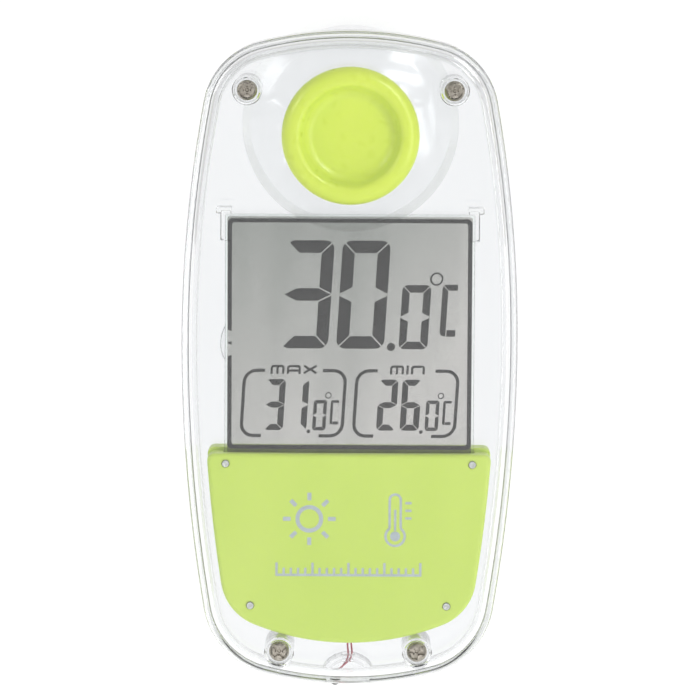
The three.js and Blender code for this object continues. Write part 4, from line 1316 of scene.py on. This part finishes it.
# ---------------------------------------------------------------- inner pieces that keep their CAD shape
INNER_MATERIALS = {
    "zebra_strip": RUBBER,
    "main_pcb": BOARD,
    "driver_chip_blob": EPOXY,
    "charge_diode": EPOXY,
    "filter_capacitor": CERAMIC,
    "supply_capacitor": CERAMIC,
    "sensor_resistor": EPOXY,
    "pull_up_resistor": EPOXY,
    "crystal_can": STEEL,
    "storage_cell": STEEL,
    "cell_tab_negative": STEEL,
    "cell_tab_positive": STEEL,
    "solar_cell_tape": RUBBER,
    "reset_switch_body": EPOXY,
    "reset_switch_plunger": RUBBER,
    "unit_switch_body": EPOXY,
    "unit_switch_plunger": RUBBER,
    "solar_wire_red": RED_WIRE,
    "solar_wire_black": BLACK_WIRE,
    "pcb_screw_left": NICKEL,
    "pcb_screw_right": NICKEL,
}


def inner_pieces():
    for node, material in INNER_MATERIALS.items():
        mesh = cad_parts[node].data
        mesh.materials.clear()
        mesh.materials.append(material)


# ---------------------------------------------------------------- stage, light and camera
def stage():
    """A wide pale floor, well below the thermometer, lit evenly enough to meet the white backdrop."""
    size = 60.0 / MM
    floor_z = -0.30 / MM
    corners = [(x * size, y * size, floor_z) for x, y in ((-1, -1), (1, -1), (1, 1), (-1, 1))]
    floor = make_object("floor", corners, [[0, 1, 2, 3]])
    surface = Surface("pale_floor", roughness=0.9, emission_color=(1, 1, 1, 1), emission_strength=0.55)
    mottle = surface.between(surface.noise(300.0), 0, 1)
    surface.link(surface.blend(mottle, (0.78, 0.78, 0.78), (0.80, 0.80, 0.80)), "Base Color")
    floor.data.materials.append(surface.material)


def sky():
    """Studio light from all round: bright behind and above, softer in front. The backdrop itself is white."""
    world = bpy.data.worlds.new("studio")
    bpy.context.scene.world = world
    world.use_nodes = True
    tree = world.node_tree
    lit = tree.nodes["Background"]
    lit.inputs["Color"].default_value = (1, 1, 1, 1)
    direction = tree.nodes.new("ShaderNodeTexCoord").outputs["Generated"]
    split = tree.nodes.new("ShaderNodeSeparateXYZ")
    tree.links.new(direction, split.inputs[0])
    ramp = tree.nodes.new("ShaderNodeMapRange")
    ramp.interpolation_type = "SMOOTHSTEP"
    for socket, value in zip(("From Min", "From Max", "To Min", "To Max"), (-0.9, 0.95, 0.34, 1.0)):
        ramp.inputs[socket].default_value = value
    tree.links.new(split.outputs["Y"], ramp.inputs["Value"])
    tree.links.new(ramp.outputs["Result"], lit.inputs["Strength"])
    backdrop = tree.nodes.new("ShaderNodeBackground")
    backdrop.inputs["Color"].default_value = (1, 1, 1, 1)
    rays = tree.nodes.new("ShaderNodeLightPath")
    mix = tree.nodes.new("ShaderNodeMixShader")
    tree.links.new(rays.outputs["Is Camera Ray"], mix.inputs["Fac"])
    tree.links.new(lit.outputs[0], mix.inputs[1])
    tree.links.new(backdrop.outputs[0], mix.inputs[2])
    tree.links.new(mix.outputs[0], tree.nodes["World Output"].inputs["Surface"])


def soft_light(name, place, aim, size, power):
    lamp = bpy.data.lights.new(name, "AREA")
    lamp.shape = "RECTANGLE"
    lamp.size, lamp.size_y = size
    lamp.energy = power
    made = bpy.data.objects.new(name, lamp)
    made.location = place
    made.rotation_euler = (Vector(aim) - Vector(place)).to_track_quat("-Z", "Y").to_euler()
    bpy.context.scene.collection.objects.link(made)


def camera():
    """The photograph's viewpoint: level with the face, from a little above, about a metre away."""
    distance = 1.0
    elevation = math.radians(5.5)
    aim = Vector((0.1, -20.0, CASE_Z + 1.4)) * MM
    seen_height = 146.5 * MM
    data = bpy.data.cameras.new("camera")
    data.lens = data.sensor_width * distance / seen_height
    made = bpy.data.objects.new("camera", data)
    back = Vector((0, -math.cos(elevation), math.sin(elevation)))
    made.location = aim + back * distance
    roll = Matrix.Rotation(math.radians(0.3), 4, "Z")
    towards = (-back).to_track_quat("-Z", "Y").to_matrix().to_4x4()
    made.matrix_world = Matrix.Translation(made.location) @ towards @ roll
    bpy.context.scene.collection.objects.link(made)
    bpy.context.scene.camera = made


def build():
    camera()
    stage()
    sky()
    soft_light("key", (0.55, -0.80, 0.55), (0, 0, -0.05), (0.30, 0.45), 4.2)
    soft_light("side", (0.62, -0.75, -0.05), (0, 0, -0.08), (0.16, 0.6), 2.0)
    soft_light("fill", (-0.75, -0.60, 0.40), (0, 0, -0.05), (0.35, 0.35), 1.4)
    scene = bpy.context.scene
    scene.view_settings.view_transform = "Standard"
    scene.cycles.max_bounces = 24
    scene.cycles.transmission_bounces = 24
    scene.cycles.transparent_max_bounces = 32
    front_shell()
    locating_pins()
    rear_shell()
    case_seal()
    suction_cup()
    cup_stud()
    mount_cover()
    for corner, degrees in zip(CORNERS, SCREW_TURNS):
        node = "case_screw_" + corner
        screw("nickel_" + node, node, SCREW_SEAT_Y, 1, SCREW_HEAD_RADIUS, SCREW_SHANK_RADIUS, SCREW_PITCH,
              math.radians(degrees), NICKEL)
    display_stack()
    border_seal()
    display_content()
    module_cover()
    module_frame()
    printed_marks()
    solar_cell()
    buttons()
    sensor()
    inner_pieces()


build()
